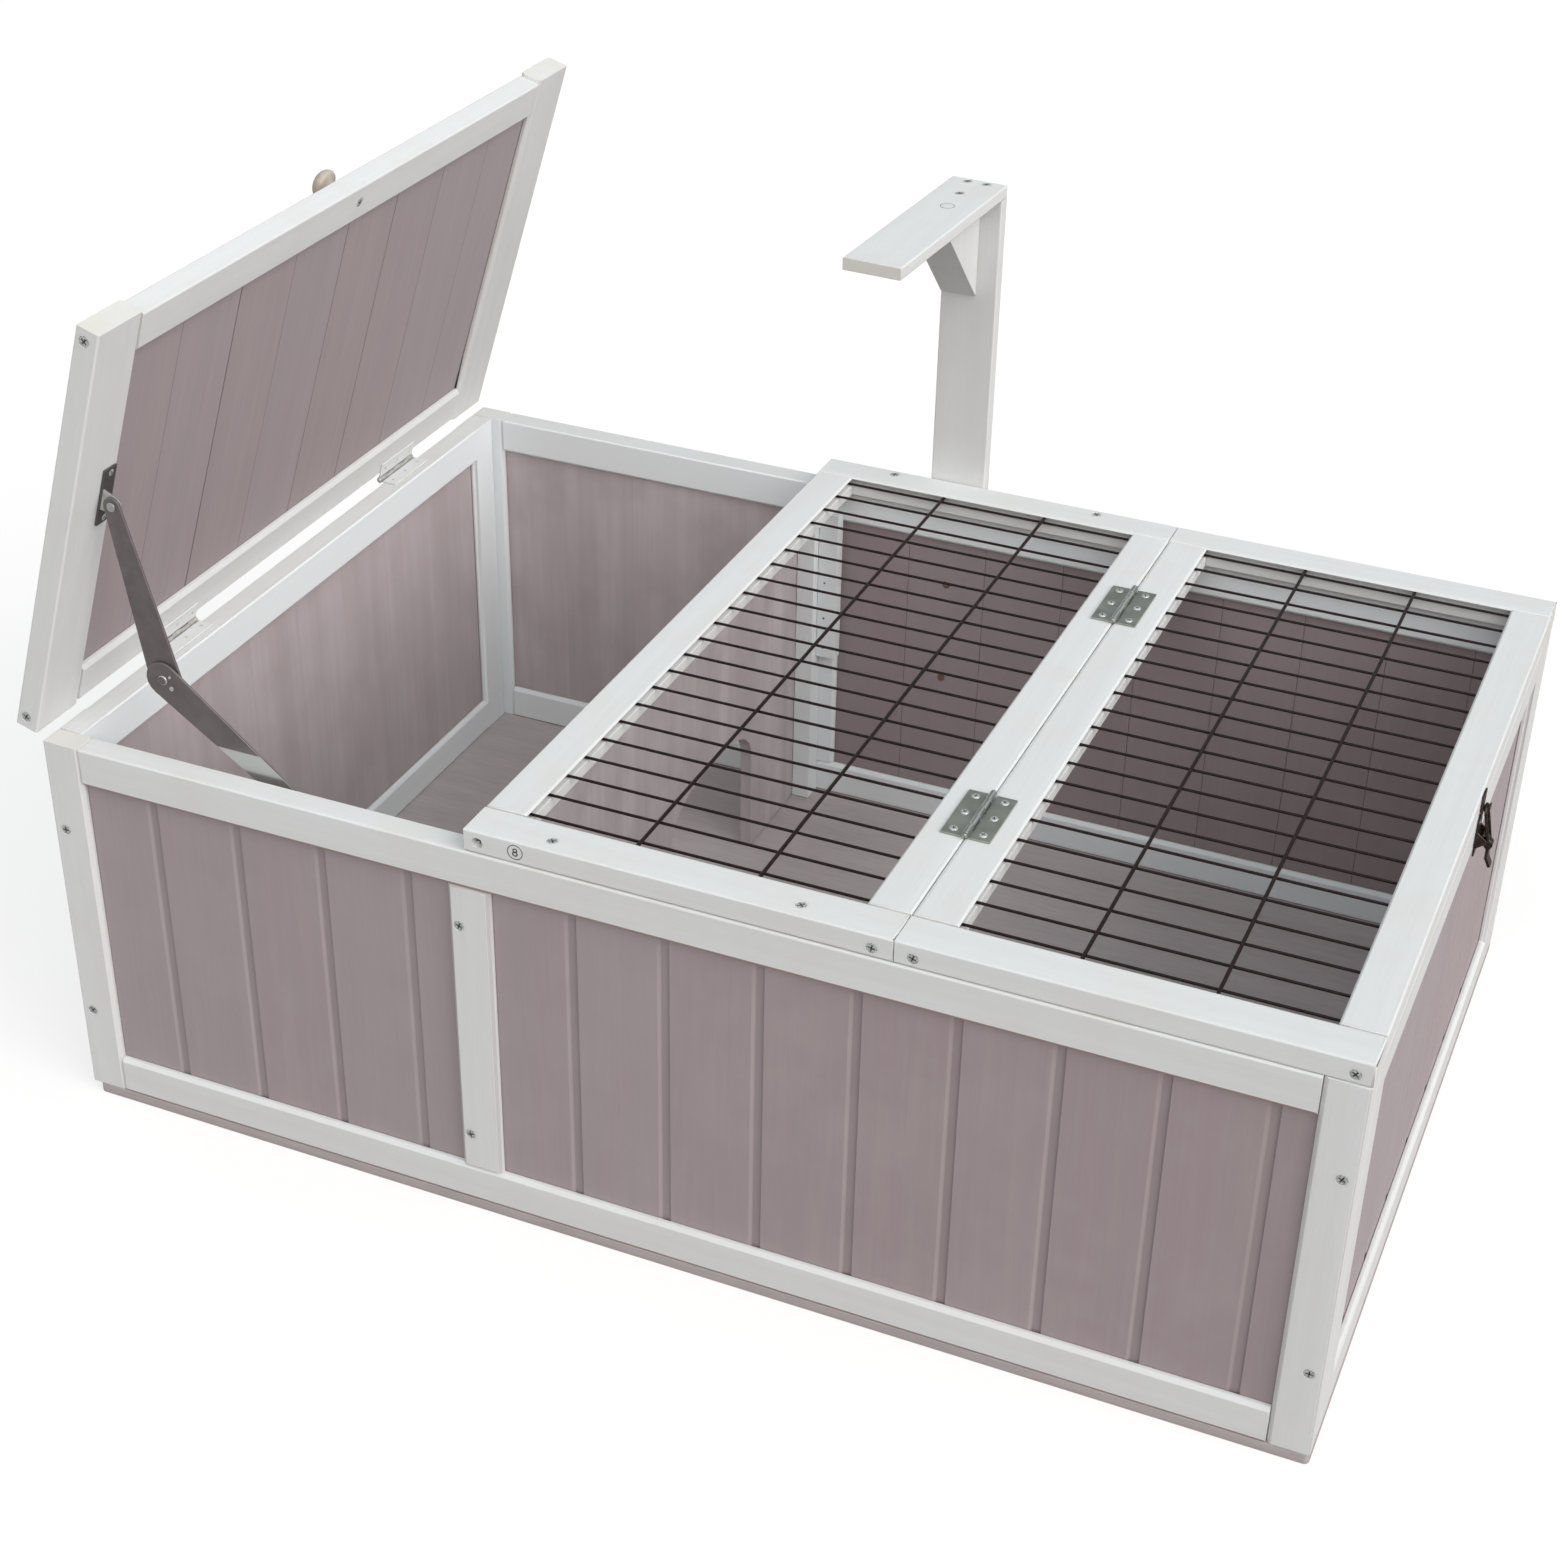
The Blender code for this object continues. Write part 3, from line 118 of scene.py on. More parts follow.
surround = bpy.data.worlds.new("surround")
surround.use_nodes = True
sky = surround.node_tree
daylight = sky.nodes["Background"]
daylight.inputs["Color"].default_value = (0.93, 0.97, 1.0, 1)
daylight.inputs["Strength"].default_value = 0.38
backdrop = sky.nodes.new("ShaderNodeBackground")
backdrop.inputs["Color"].default_value = (1, 1, 1, 1)
seen = sky.nodes.new("ShaderNodeLightPath").outputs["Is Camera Ray"]
choice = sky.nodes.new("ShaderNodeMixShader")
for place, source in zip(choice.inputs, (seen, daylight.outputs[0], backdrop.outputs[0])):
    feed(sky, place, source)
feed(sky, sky.nodes["World Output"].inputs["Surface"], choice.outputs[0])
bpy.context.scene.world = surround


def soft_light(name, toward, strength, width, tint):
    """A wide soft light that falls evenly over the house and the floor."""
    lamp = bpy.data.lights.new(name, "SUN")
    lamp.energy = strength
    lamp.angle = math.radians(width)
    lamp.color = tint
    add_object(name, lamp).rotation_euler = Vector(toward).to_track_quat("Z", "Y").to_euler()


soft_light("soft_right", (0.82, -0.19, 0.50), 2.10, 50, (1.0, 0.965, 0.95))
soft_light("soft_front", (0.20, -0.78, 0.59), 0.92, 60, (1.0, 0.94, 0.92))
soft_light("soft_above", (0.08, -0.22, 1.0), 0.70, 80, (0.76, 0.95, 1.0))

bm = bmesh.new()
bmesh.ops.create_grid(bm, x_segments=1, y_segments=1, size=12)
studio_floor = build("studio_floor", bm)
studio_floor.location.z = cad_low.z
floor_paint, tree, shader = new_finish("studio_floor")
for name, value in (("Base Color", (0.36, 0.345, 0.34, 1)), ("Roughness", 0.95),
                    ("Specular IOR Level", 0), ("Emission Color", (1, 1, 1, 1))):
    shader[name].default_value = value
seen = tree.nodes.new("ShaderNodeLightPath").outputs["Is Camera Ray"]
feed(tree, shader["Emission Strength"], maths(tree, "MULTIPLY", seen, 0.66))
studio_floor.data.materials.append(floor_paint)


# Floor board
# One thin sheet under the whole house, stained brown-mauve like the boards. Its cut edge shows
# as a line below the walls, and its face is the floor of the sleeping room and of the run.
house_long = 0.880
house_deep = 0.596
floor_thick = 0.008
corner = Vector((-0.440, -0.298, floor_thick))
x_way = Vector((1, 0, 0))
y_way = Vector((0, 1, 0))
z_way = Vector((0, 0, 1))


def mark_layers(bm):
    """Add the face marks that the materials read."""
    for mark in ("arris", "end", "tone", "dark_joint_and_shade", "painted_light_and_shade"):
        bm.faces.layers.float.new(mark)
    bm.faces.layers.float_vector.new("along")


def take_shape(name):
    """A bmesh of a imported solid, with its flat faces whole again."""
    bm = bmesh.new()
    bm.from_mesh(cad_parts[name].data)
    bmesh.ops.remove_doubles(bm, verts=bm.verts, dist=1e-6)
    bmesh.ops.dissolve_limit(bm, angle_limit=math.radians(1), verts=bm.verts, edges=bm.edges)
    mark_layers(bm)
    return bm


def sand(bm, width, least=0.006, angle=20, segments=2, chosen=None):
    """Bevel the chosen edges longer than least and sharper than angle, and mark them as arris."""
    edges = []
    for edge in bm.edges:
        if edge.is_manifold and edge.calc_length() > least and edge.calc_face_angle() > math.radians(angle):
            if chosen is None or chosen(edge):
                edges.append(edge)
    made = bmesh.ops.bevel(
        bm, geom=edges, offset=width, offset_type="OFFSET", segments=segments, profile=0.5,
        affect="EDGES", clamp_overlap=False)
    mark = bm.faces.layers.float["arris"]
    for face in made["faces"]:
        face[mark] = 1.0


def lay_grain(bm, direction, tone, members=None):
    """Write each face's grain direction and tone, which members may give by place, and end grain."""
    along = bm.faces.layers.float_vector["along"]
    tones = bm.faces.layers.float["tone"]
    ends = bm.faces.layers.float["end"]
    for face in bm.faces:
        way, value = members(face.calc_center_median()) if members else (direction, tone)
        face[along] = way
        face[tones] = value
        face[ends] = 1.0 if abs(face.normal.dot(way)) > 0.85 else 0.0


def set_piece(name, bm, body, slot_name, paint, *stands_for, crease=32):
    """Make a bmesh a piece of the house that rides on its body."""
    piece = build(name, bm)
    piece.data.materials.append(paint)
    piece.data.shade_smooth()
    piece.data.set_sharp_from_angle(angle=math.radians(crease))
    weighted = piece.modifiers.new("weighted_normals", "WEIGHTED_NORMAL")
    weighted.keep_sharp = True
    if stands_for:
        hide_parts(*stands_for)
    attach(piece, body)
    return piece


def node_group(name, kind, inputs, outputs):
    """A node group with its inputs, as (name, kind, value if any), and its outputs."""
    group = bpy.data.node_groups.new(name, kind)
    for label, sort, *value in inputs:
        made = group.interface.new_socket(name=label, in_out="INPUT", socket_type="NodeSocket" + sort)
        if value:
            made.default_value = value[0]
    for label, sort in outputs:
        group.interface.new_socket(name=label, in_out="OUTPUT", socket_type="NodeSocket" + sort)
    return group, group.nodes.new("NodeGroupInput").outputs, group.nodes.new("NodeGroupOutput").inputs


def add_node(tree, kind, settings=None, **inputs):
    """A node with its settings and its named inputs, written with _ for a space.

    The kind is written without the ShaderNode or GeometryNode that starts its full name.
    """
    node = tree.nodes.new(kind if kind.startswith("Function") else tree.bl_idname[:-4] + kind)
    for key, value in (settings or {}).items():
        setattr(node, key, value)
    for key, value in inputs.items():
        feed(tree, node.inputs[key.replace("_", " ")], value)
    return node


def vector_maths(tree, operation, first, second=None):
    """The result of a Vector Math node, a number for a dot product or a length."""
    node = add_node(tree, "VectorMath", {"operation": operation})
    feed(tree, node.inputs[0], first)
    if second is not None:
        feed(tree, node.inputs["Scale" if operation == "SCALE" else 1], second)
    return node.outputs["Value" if operation in ("DOT_PRODUCT", "LENGTH") else 0]


def blend(tree, share, first, second, kind="RGBA"):
    """A mix of two colours or, for the kind FLOAT, of two numbers."""
    node = add_node(tree, "Mix", {"data_type": kind})
    start = 6 if kind == "RGBA" else 2
    for place, value in ((0, share), (start, first), (start + 1, second)):
        feed(tree, node.inputs[place], (*value, 1) if isinstance(value, (tuple, list)) else value)
    return node.outputs[2 if kind == "RGBA" else 0]


def spread(tree, value, low, high, new_low=0.0, new_high=1.0):
    """Map a value from one range to another, held at its ends."""
    node = tree.nodes.new("ShaderNodeMapRange")
    for place, number in zip(node.inputs, (value, low, high, new_low, new_high)):
        feed(tree, place, number)
    return node.outputs[0]


def lay_over(tree, tint, figure, coats):
    """Lay colours over a tint in turn, each with its share or a pattern and the pattern's spread."""
    for colour, share, *reach in coats:
        if reach:
            share = spread(tree, figure[share], *reach)
        tint = blend(tree, share, tint, colour)
    return tint


def set_surface(tree, tint, roughness, height=None, distance=0.0):
    """Give the shader its colour, its roughness and the bump of its grain or specks."""
    shader = tree.nodes["Principled BSDF"].inputs
    feed(tree, shader["Base Color"], tint)
    feed(tree, shader["Roughness"], roughness)
    if height:
        bump = add_node(tree, "Bump", Height=height, Distance=distance)
        feed(tree, shader["Normal"], bump.outputs[0])


def face_mark(tree, name):
    """The number that a piece's faces carry under a mark's name."""
    return add_node(tree, "Attribute", {"attribute_name": name}).outputs["Fac"]


timber, given, result = node_group("timber_figure", "ShaderNodeTree", (
    ("Point", "Vector"), ("Along", "Vector"), ("Tone", "Float", 0.5), ("Streak Width", "Float", 0.0012),
    ("Band Width", "Float", 0.016), ("Stretch", "Float", 24.0)),
    (("Streaks", "Float"), ("Bands", "Float"), ("Clouds", "Float")))
reach = vector_maths(timber, "DOT_PRODUCT", given["Point"], given["Along"])
keep = maths(timber, "SUBTRACT", 1.0, maths(timber, "DIVIDE", 1.0, given["Stretch"]))
pull = vector_maths(timber, "SCALE", given["Along"], maths(timber, "MULTIPLY", reach, keep))
squeezed = vector_maths(timber, "SUBTRACT", given["Point"], pull)
shift = vector_maths(timber, "SCALE", (3.1, 5.7, 2.3), given["Tone"])
shifted = vector_maths(timber, "ADD", squeezed, shift)
cloud_scale = 22.0
for output, place, scale, detail in (
        ("Streaks", shifted, maths(timber, "DIVIDE", 1.0, given["Streak Width"]), 3.0),
        ("Bands", shifted, maths(timber, "DIVIDE", 1.0, given["Band Width"]), 2.0),
        ("Clouds", given["Point"], cloud_scale, 3.0)):
    noise = add_node(timber, "TexNoise", Vector=place, Scale=scale, Detail=detail, Roughness=0.55)
    feed(timber, result[output], noise.outputs["Fac"])


def timber_figure(tree, marks, streak_width, band_width, stretch):
    """The streaks, bands and clouds of the wood, laid along the piece's own grain."""
    return add_node(
        tree, "Group", {"node_tree": timber}, Point=marks["point"], Along=marks["along"],
        Tone=marks["tone"], Streak_Width=streak_width, Band_Width=band_width, Stretch=stretch).outputs


def wood_finish(name, streak_width, band_width, stretch):
    """A material, its tree, what it reads of the piece and its timber figure."""
    made, tree, shader = new_finish(name)
    marks = {mark: face_mark(tree, mark) for mark in ("tone", "end", "arris", "dark_joint_and_shade", "painted_light_and_shade")}
    marks["point"] = add_node(tree, "TexCoord").outputs["Object"]
    marks["along"] = add_node(tree, "Attribute", {"attribute_name": "along"}).outputs["Vector"]
    return made, tree, marks, timber_figure(tree, marks, streak_width, band_width, stretch)


sheet_stain, tree, marks, figure = wood_finish("sheet_stain", 0.0016, 0.022, 16)
# The cut edge is darker and warmer towards its bottom.
height = add_node(tree, "SeparateXYZ", Vector=marks["point"]).outputs["Z"]
tint = lay_over(tree, (0.480, 0.430, 0.428), figure, (
    ((0.430, 0.385, 0.386), "Bands", 0.35, 0.65),
    ((0.50, 0.44, 0.42), "Clouds", 0.45, 0.70, 0, 0.45),
    ((0.300, 0.255, 0.255), "Streaks", 0.42, 0.68, 0, 0.30),
    ((0.39, 0.32, 0.29), maths(tree, "MULTIPLY", spread(tree, height, 0.0035, 0.0006), 0.6))))
set_surface(tree, tint, 0.62, figure["Streaks"], 0.00008)


def upright(edge):
    """An edge at one of the floor board's corners."""
    return abs((edge.verts[0].co - edge.verts[1].co).z) > 0.005


bm = take_shape("floor_board")
sand(bm, 0.0035, segments=4, chosen=upright)
sand(bm, 0.0006, least=0.0005, angle=40)
lay_grain(bm, x_way, 0.4)
set_piece("stained_floor_board", bm, "house_frame", "floor_ply", sheet_stain, "floor_board")


# White wall frames
# Planed softwood posts and rails with a thin white stain that lets the grain show a little. The
# arrises are sanded round, the bay sides are chamfered, and end grain shows cream through the stain.
white_stain, tree, marks, figure = wood_finish("white_stain", 0.0011, 0.013, 30)
bare = maths(tree, "MULTIPLY", marks["end"], spread(tree, figure["Clouds"], 0.36, 0.60, 0.10, 0.42))
worn = maths(tree, "MULTIPLY", marks["arris"], spread(tree, figure["Clouds"], 0.56, 0.70, 0, 0.30))
tint = lay_over(tree, (0.745, 0.750, 0.745), figure, (
    ((0.715, 0.715, 0.705), "Bands", 0.32, 0.68),
    ((0.62, 0.60, 0.58), "Streaks", 0.46, 0.76, 0, 0.16),
    ((0.69, 0.665, 0.615), "Clouds", 0.48, 0.74, 0, 0.34),
    ((0.71, 0.655, 0.555), bare),
    ((0.66, 0.60, 0.52), worn),
    # Inner faces are painted paler and bluer as painted light; below 0 the same mark paints the upright
    # chamfers darker, as painted shade.
    ((0.830, 0.872, 0.880), maths(tree, "MULTIPLY", marks["painted_light_and_shade"], 0.80)),
    ((0.53, 0.525, 0.52), spread(tree, marks["painted_light_and_shade"], 0, -1)),
    # A thin warm brown line along the edges of the bays outside.
    ((0.36, 0.19, 0.12), maths(tree, "MULTIPLY", marks["dark_joint_and_shade"], 0.80))))
dull = spread(tree, figure["Streaks"], 0.3, 0.7, 0.50, 0.60)
set_surface(tree, tint, dull, figure["Streaks"], 0.00010)

member_tones = random.Random(7)
middle = corner + Vector((house_long / 2, house_deep / 2, 0))
bays_reach = (0.42, 0.27)
soft_width = 0.0018


def paint_member(node, direction, body="house_frame", members=None, width=0.0005, softer=None):
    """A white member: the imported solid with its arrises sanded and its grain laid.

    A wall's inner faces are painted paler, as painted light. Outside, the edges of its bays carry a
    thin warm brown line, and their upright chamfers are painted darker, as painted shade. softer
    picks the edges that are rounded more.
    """
    bm = take_shape(node)
    if softer:
        sand(bm, soft_width, segments=4, chosen=softer)
    sand(bm, width)
    # The divider's battens and a wall's inner faces are painted paler, as painted light.
    painted_light_and_shade = bm.faces.layers.float["painted_light_and_shade"]
    for face in bm.faces:
        face[painted_light_and_shade] = 1.0 if node.startswith("divider") else 0.0
    if "wall" in node or node.startswith(("front", "back")):
        dark_joint_and_shade = bm.faces.layers.float["dark_joint_and_shade"]
        arris = bm.faces.layers.float["arris"]
        through = 0 if "wall" in node else 1
        for face in bm.faces:
            place = face.calc_center_median() - middle
            outward = face.normal.x * place.x + face.normal.y * place.y > 0
            in_bays = abs(place.x) < bays_reach[0] or abs(place.y) < bays_reach[1]
            if face.normal[through] * place[through] < -0.1:
                face[painted_light_and_shade] = 1.0
            # Outside, the edges of the bays get a thin warm brown line, and the upright chamfers are painted
            # darker as painted shade.
            if outward and in_bays and face[arris] and (face.normal.z < -0.2 or "post" in node):
                face[dark_joint_and_shade] = 1.0 if face.normal.z < -0.2 else 0.2
            elif outward and in_bays and -0.8 < face.normal.z < -0.6:
                face[dark_joint_and_shade] = 0.7
            elif outward and 0.6 < abs(face.normal.x) < 0.8 and abs(face.normal.z) < 0.1:
                face[painted_light_and_shade] = -1.0
    lay_grain(bm, direction, member_tones.random(), members)
    return set_piece("white_" + node, bm, body, "white_paint", white_stain, node)


for side in ("front", "back"):
    for member in ("left_post", "mid_post", "right_post", "top_rail", "bottom_rail"):
        paint_member(f"{side}_{member}", z_way if "post" in member else x_way)

stile_width = 0.0301
rail_split = 0.14
for side in ("left", "right"):
    low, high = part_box(f"{side}_wall_frame")
    tones = [member_tones.random() for member in range(4)]

    def side_members(centre):
        """Stiles run the full height, with the rails between them."""
        if centre.y < low.y + stile_width:
            return z_way, tones[0]
        if centre.y > high.y - stile_width:
            return z_way, tones[1]
        return y_way, tones[2] if centre.z > low.z + rail_split else tones[3]

    paint_member(f"{side}_wall_frame", z_way, members=side_members)


# Wall boards
# Tongued and grooved softwood boards, stained brown-mauve and housed in the frames. Outside, each
# shows a rounded shoulder and the flat of its tongue before the next one. Inside they meet closely.
board_stain, tree, marks, figure = wood_finish("board_stain", 0.0019, 0.011, 40)
broad = timber_figure(tree, marks, 0.008, 0.030, 14)
patterns = {**figure, "Broad Bands": broad["Bands"], "Broad Streaks": broad["Streaks"]}
grey_board = (0.376, 0.322, 0.333)
pink_board = (0.364, 0.282, 0.292)
tint = lay_over(tree, grey_board, patterns, (
    (pink_board, marks["tone"]),
    # Inner faces are painted paler, as painted light.
    ((0.600, 0.543, 0.550), marks["painted_light_and_shade"]),
    ((0.350, 0.308, 0.308), "Broad Bands", 0.40, 0.62, 0, 0.32),
    ((0.43, 0.36, 0.355), "Broad Streaks", 0.50, 0.72, 0, 0.28),
    ((0.335, 0.280, 0.290), "Bands", 0.36, 0.66, 0, 0.20),
    ((0.395, 0.335, 0.340), "Clouds", 0.44, 0.72, 0, 0.55),
    ((0.26, 0.21, 0.215), "Streaks", 0.52, 0.80, 0, 0.10),
    # Rounded shoulders are a little lighter, partly as wear and partly as a painted highlight.
    ((0.50, 0.45, 0.44), maths(tree, "MULTIPLY", marks["arris"], 0.14)),
    # Joints are darker, partly as dark joints and partly as painted shade, and the run's inner faces are
    # painted darker as painted shade.
    ((0.14, 0.11, 0.11), maths(tree, "MULTIPLY", marks["dark_joint_and_shade"], 0.40))))
dull = spread(tree, figure["Streaks"], 0.3, 0.7, 0.52, 0.66)
set_surface(tree, tint, dull, figure["Streaks"], 0.00012)

board_thick = 0.0075
board_cover = 0.0635
board_recess = 0.0055
board_housing = 0.0070
narrowest_board = 0.012
shoulder_round = ((0, 0), (0.12, 0.03), (0.25, 0.12), (0.40, 0.30), (0.58, 0.56), (0.78, 0.84))
shoulder_width = 0.0026
tongue_show = 0.0056
tongue_drop = 0.0014
tongue_depth = 0.0049
tongue_reach = 0.0020
groove_depth = 0.0051
groove_reach = 0.0025
board_tones = random.Random(11)


def board_section(start, end, first, last, tight_start, tight_end):
    """Outline of one board from its groove to its tongue, as (across, in, mark) points.

    A first board has no groove and a last one no tongue, where the frame houses it. A mark is for
    the face that starts there: 1 shoulder, 2 tongue, 3 closed gap, 4 inner face. tight_start and
    tight_end are the half gaps of its joints inside.
    """
    if first:
        outline = [(start, 0, 0)]
    else:
        outline = [(start + 0.00022, 0.0004, 0), (start + 0.00022 + 0.0004, 0, 0)]
    if last:
        outline += [(end, 0, 0), (end, board_thick, 4)]
    else:
        shoulder = end - tongue_show
        for across, depth in shoulder_round:
            outline.append((shoulder - shoulder_width * (1 - across), tongue_drop * depth, 1))
        tip = end + tongue_reach
        outline += [(shoulder, tongue_drop, 2), (tip, tongue_drop, 3), (tip, tongue_depth, 3)]
        edge = end - tight_end
        ease = min(0.0003, 1.5 * tight_end)
        outline += [(edge, tongue_depth, 3), (edge, board_thick - ease, 4), (edge - ease, board_thick, 4)]
    if first:
        outline += [(start, board_thick, 0)]
    else:
        edge = start + tight_start
        ease = min(0.0003, 1.5 * tight_start)
        bared = 3 if tight_start > 0.0001 else 4
        outline += [(edge + ease, board_thick, bared), (edge, board_thick - ease, 3)]
        lip = tongue_drop - 0.0002
        outline += [(edge, groove_depth, 3), (edge + groove_reach, groove_depth, 3)]
        outline += [(edge + groove_reach, lip, 3), (edge, lip, 3)]
    return outline


def face_out(bm):
    """Turn every face outwards."""
    bmesh.ops.recalc_face_normals(bm, faces=bm.faces)


def lay_boards(name, stands_for, at, across, inward, run, length, bay, first_cover, cover=board_cover,
               body="house_frame", tights=(0.00003,), blush=(0, 0), painted_light_and_shade=0.0, shade=1.0):
    """A bay of boards side by side, each its own closed board in one mesh.

    tights are the half gaps of the joints in turn, blush is how pink the first and last board
    are, painted_light_and_shade how much paler the inner face is painted, as painted light, or
    below 0 how much darker, as painted shade, and shade how dark the joints are; below 1 shade
    also paints the outer faces paler, as painted light.
    """
    low, high = bay
    lines = []
    line = low + first_cover
    while line < high - narrowest_board:
        lines.append(line)
        line += cover
    ends = [low - board_housing] + lines + [high + board_housing]
    bm = bmesh.new()
    mark_layers(bm)
    marks = bm.faces.layers.float
    along = bm.faces.layers.float_vector["along"]
    for k, (start, end) in enumerate(zip(ends, ends[1:])):
        tight_start, tight_end = tights[(k - 1) % len(tights)], tights[k % len(tights)]
        outline = board_section(start, end, k == 0, k == len(ends) - 2, tight_start, tight_end)
        near = [bm.verts.new(at + a * across + b * inward) for a, b, mark in outline]
        far = [bm.verts.new(vertex.co + length * run) for vertex in near]
        made = [bm.faces.new(near), bm.faces.new(far)]
        for i, (a, b, mark) in enumerate(outline):
            j = (i + 1) % len(near)
            side = bm.faces.new((near[i], near[j], far[j], far[i]))
            # Shoulders are marked lighter, partly as a painted highlight; joints darker, partly as painted
            # shade; outer and inner faces paler as painted light, or inner faces darker as painted shade.
            side[marks["arris"]] = 1.0 if mark == 1 else 0.0
            side[marks["dark_joint_and_shade"]] = (0, 0.15 * shade, 0.45 * shade, 1.0, 0)[mark]
            if mark == 0:
                side[marks["painted_light_and_shade"]] = 0.3 * (1 - shade)
            if mark == 4:
                side[marks["painted_light_and_shade" if painted_light_and_shade > 0 else "dark_joint_and_shade"]] = abs(painted_light_and_shade)
            made.append(side)
        share = k / max(1, len(ends) - 2)
        tone = 0.6 * board_tones.random() + blush[0] + (blush[1] - blush[0]) * share
        for face in made:
            face[along] = run
            face[marks["tone"]] = tone
    face_out(bm)
    return set_piece(name, bm, body, "board_stain", board_stain, stands_for)


bay_low, bay_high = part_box("front_left_boards")
board_bottom = bay_low.z
board_length = bay_high.z - bay_low.z
room_bay = (0.0274, 0.2995)
run_bay = (0.3292, 0.8526)
side_bay = (0.0483, 0.5477)
# The room's inner faces are painted paler as painted light, and the run's darker as painted shade.
for side, outer_y, inward in (("front", corner.y, y_way), ("back", corner.y + house_deep, -y_way)):
    at = Vector((corner.x, outer_y, board_bottom)) + board_recess * inward
    lay_boards(
        f"{side}_room_boards", f"{side}_left_boards", at, x_way, inward, z_way, board_length, room_bay,
        0.0532, painted_light_and_shade=0.75)
    lay_boards(
        f"{side}_run_boards", f"{side}_right_boards", at, x_way, inward, z_way, board_length, run_bay,
        0.0577, tights=(0.00012,), blush=(0.1, 0.9), painted_light_and_shade=-0.5)
# The side walls' inner faces are painted paler as painted light; the right wall's joints are less dark and
# its outer faces a little paler, as painted light.
for side, start, across, first_cover, inward, painted_light_and_shade, shade in (
        ("left", (0, 0, 0), y_way, 0.0440, x_way, 0.6, 1),
        ("right", (house_long, house_deep, 0), -y_way, 0.0744, -x_way, 0.1, 0.4)):
    at = Vector((corner.x, corner.y, board_bottom)) + Vector(start) + board_recess * inward
    lay_boards(
        f"{side}_side_boards", f"{side}_wall_boards", at, across, inward, z_way, board_length, side_bay,
        first_cover, painted_light_and_shade=painted_light_and_shade, shade=shade)


# Divider and its battens
# A stained board with a basket-arched doorway stands between the room and the run. White battens
# hold it in the corners, nailed from the run's side.
bm = take_shape("divider_panel")
sand(bm, 0.0008, least=0.002, angle=50)
lay_grain(bm, z_way, 0.35)
# The divider is painted paler all over, as painted light.
painted_light_mark = bm.faces.layers.float["painted_light_and_shade"]
for face in bm.faces:
    face[painted_light_mark] = 0.95
set_piece("stained_divider", bm, "house_frame", "board_stain", board_stain, "divider_panel")
for node in ("divider_front_batten", "divider_back_batten", "divider_short_batten"):
    paint_member(node, z_way)


# Wire panels
# White frames of two long rails over two stiles, with black coated wires welded into a mat and let
# into a kerf. The left one is screwed down, the right one is the door.
panel_top = 0.2973
fixed_right = 0.597
door_hinge_side = 0.5994
door_gain = 0.0009
hair = 0.0002


def beside_gap(edge):
    """The top arris of the fixed panel along the gap to the door."""
    places = [vertex.co - corner for vertex in edge.verts]
    return all(abs(place.x - fixed_right) < hair and abs(place.z - panel_top) < hair for place in places)


def free_corner(edge):
    """The door's outer edges along its free side and at that side's corners."""
    places = [vertex.co - corner for vertex in edge.verts]
    at_end = not 0.002 < places[0].y < 0.594
    return all(place.x > 0.8795 and (place.z > panel_top - hair or at_end) for place in places)


for panel, body, softer in (("fixed_panel", "house_frame", beside_gap), ("door", "door", free_corner)):
    for member in ("front_rail", "back_rail", "left_stile", "right_stile"):
        way = x_way if "rail" in member else y_way
        piece = paint_member(f"{panel}_{member}", way, body, softer=softer)
        if panel == "door":
            for vertex in piece.data.vertices:
                if vertex.co.x < corner.x + door_hinge_side:
                    vertex.co.x -= door_gain

wire_black, tree, shader = new_finish("wire_black")
point = add_node(tree, "TexCoord").outputs["Object"]
specks = add_node(tree, "TexNoise", Vector=point, Scale=700.0, Detail=2.0).outputs["Fac"]
tint = blend(tree, spread(tree, specks, 0.4, 0.7), (0.014, 0.007, 0.007), (0.026, 0.014, 0.014))
set_surface(tree, tint, spread(tree, specks, 0.3, 0.7, 0.26, 0.40), specks, 0.00005)
shader["Specular IOR Level"].default_value = 0.18

rods, given, result = node_group("row_of_wires", "GeometryNodeTree", (
    ("Geometry", "Geometry"), ("Count", "Int", 2), ("First", "Vector"), ("Step", "Vector"),
    ("Run", "Vector"), ("Radius", "Float", 0.0011), ("Finish", "Material")), (("Geometry", "Geometry"),))
row = add_node(
    rods, "MeshLine", {"mode": "OFFSET"},
    Count=given["Count"], Start_Location=given["First"], Offset=given["Step"])
rod = add_node(rods, "CurvePrimitiveLine", End=given["Run"])
section = add_node(
    rods, "CurvePrimitiveCircle", {"mode": "RADIUS"}, Resolution=14, Radius=given["Radius"])
tube = add_node(
    rods, "CurveToMesh", Curve=rod.outputs[0], Profile_Curve=section.outputs[0], Fill_Caps=True)
set_out = add_node(rods, "InstanceOnPoints", Points=row.outputs[0], Instance=tube.outputs[0])


def end_tree(tree, instances, finish, result):
    """End a Geometry Nodes tree: its instances made real, in their material."""
    whole = add_node(tree, "RealizeInstances", Geometry=instances)
    made = add_node(tree, "SetMaterial", Geometry=whole.outputs[0], Material=finish)
    feed(tree, result[0], made.outputs[0])


end_tree(rods, set_out.outputs[0], given["Finish"], result)


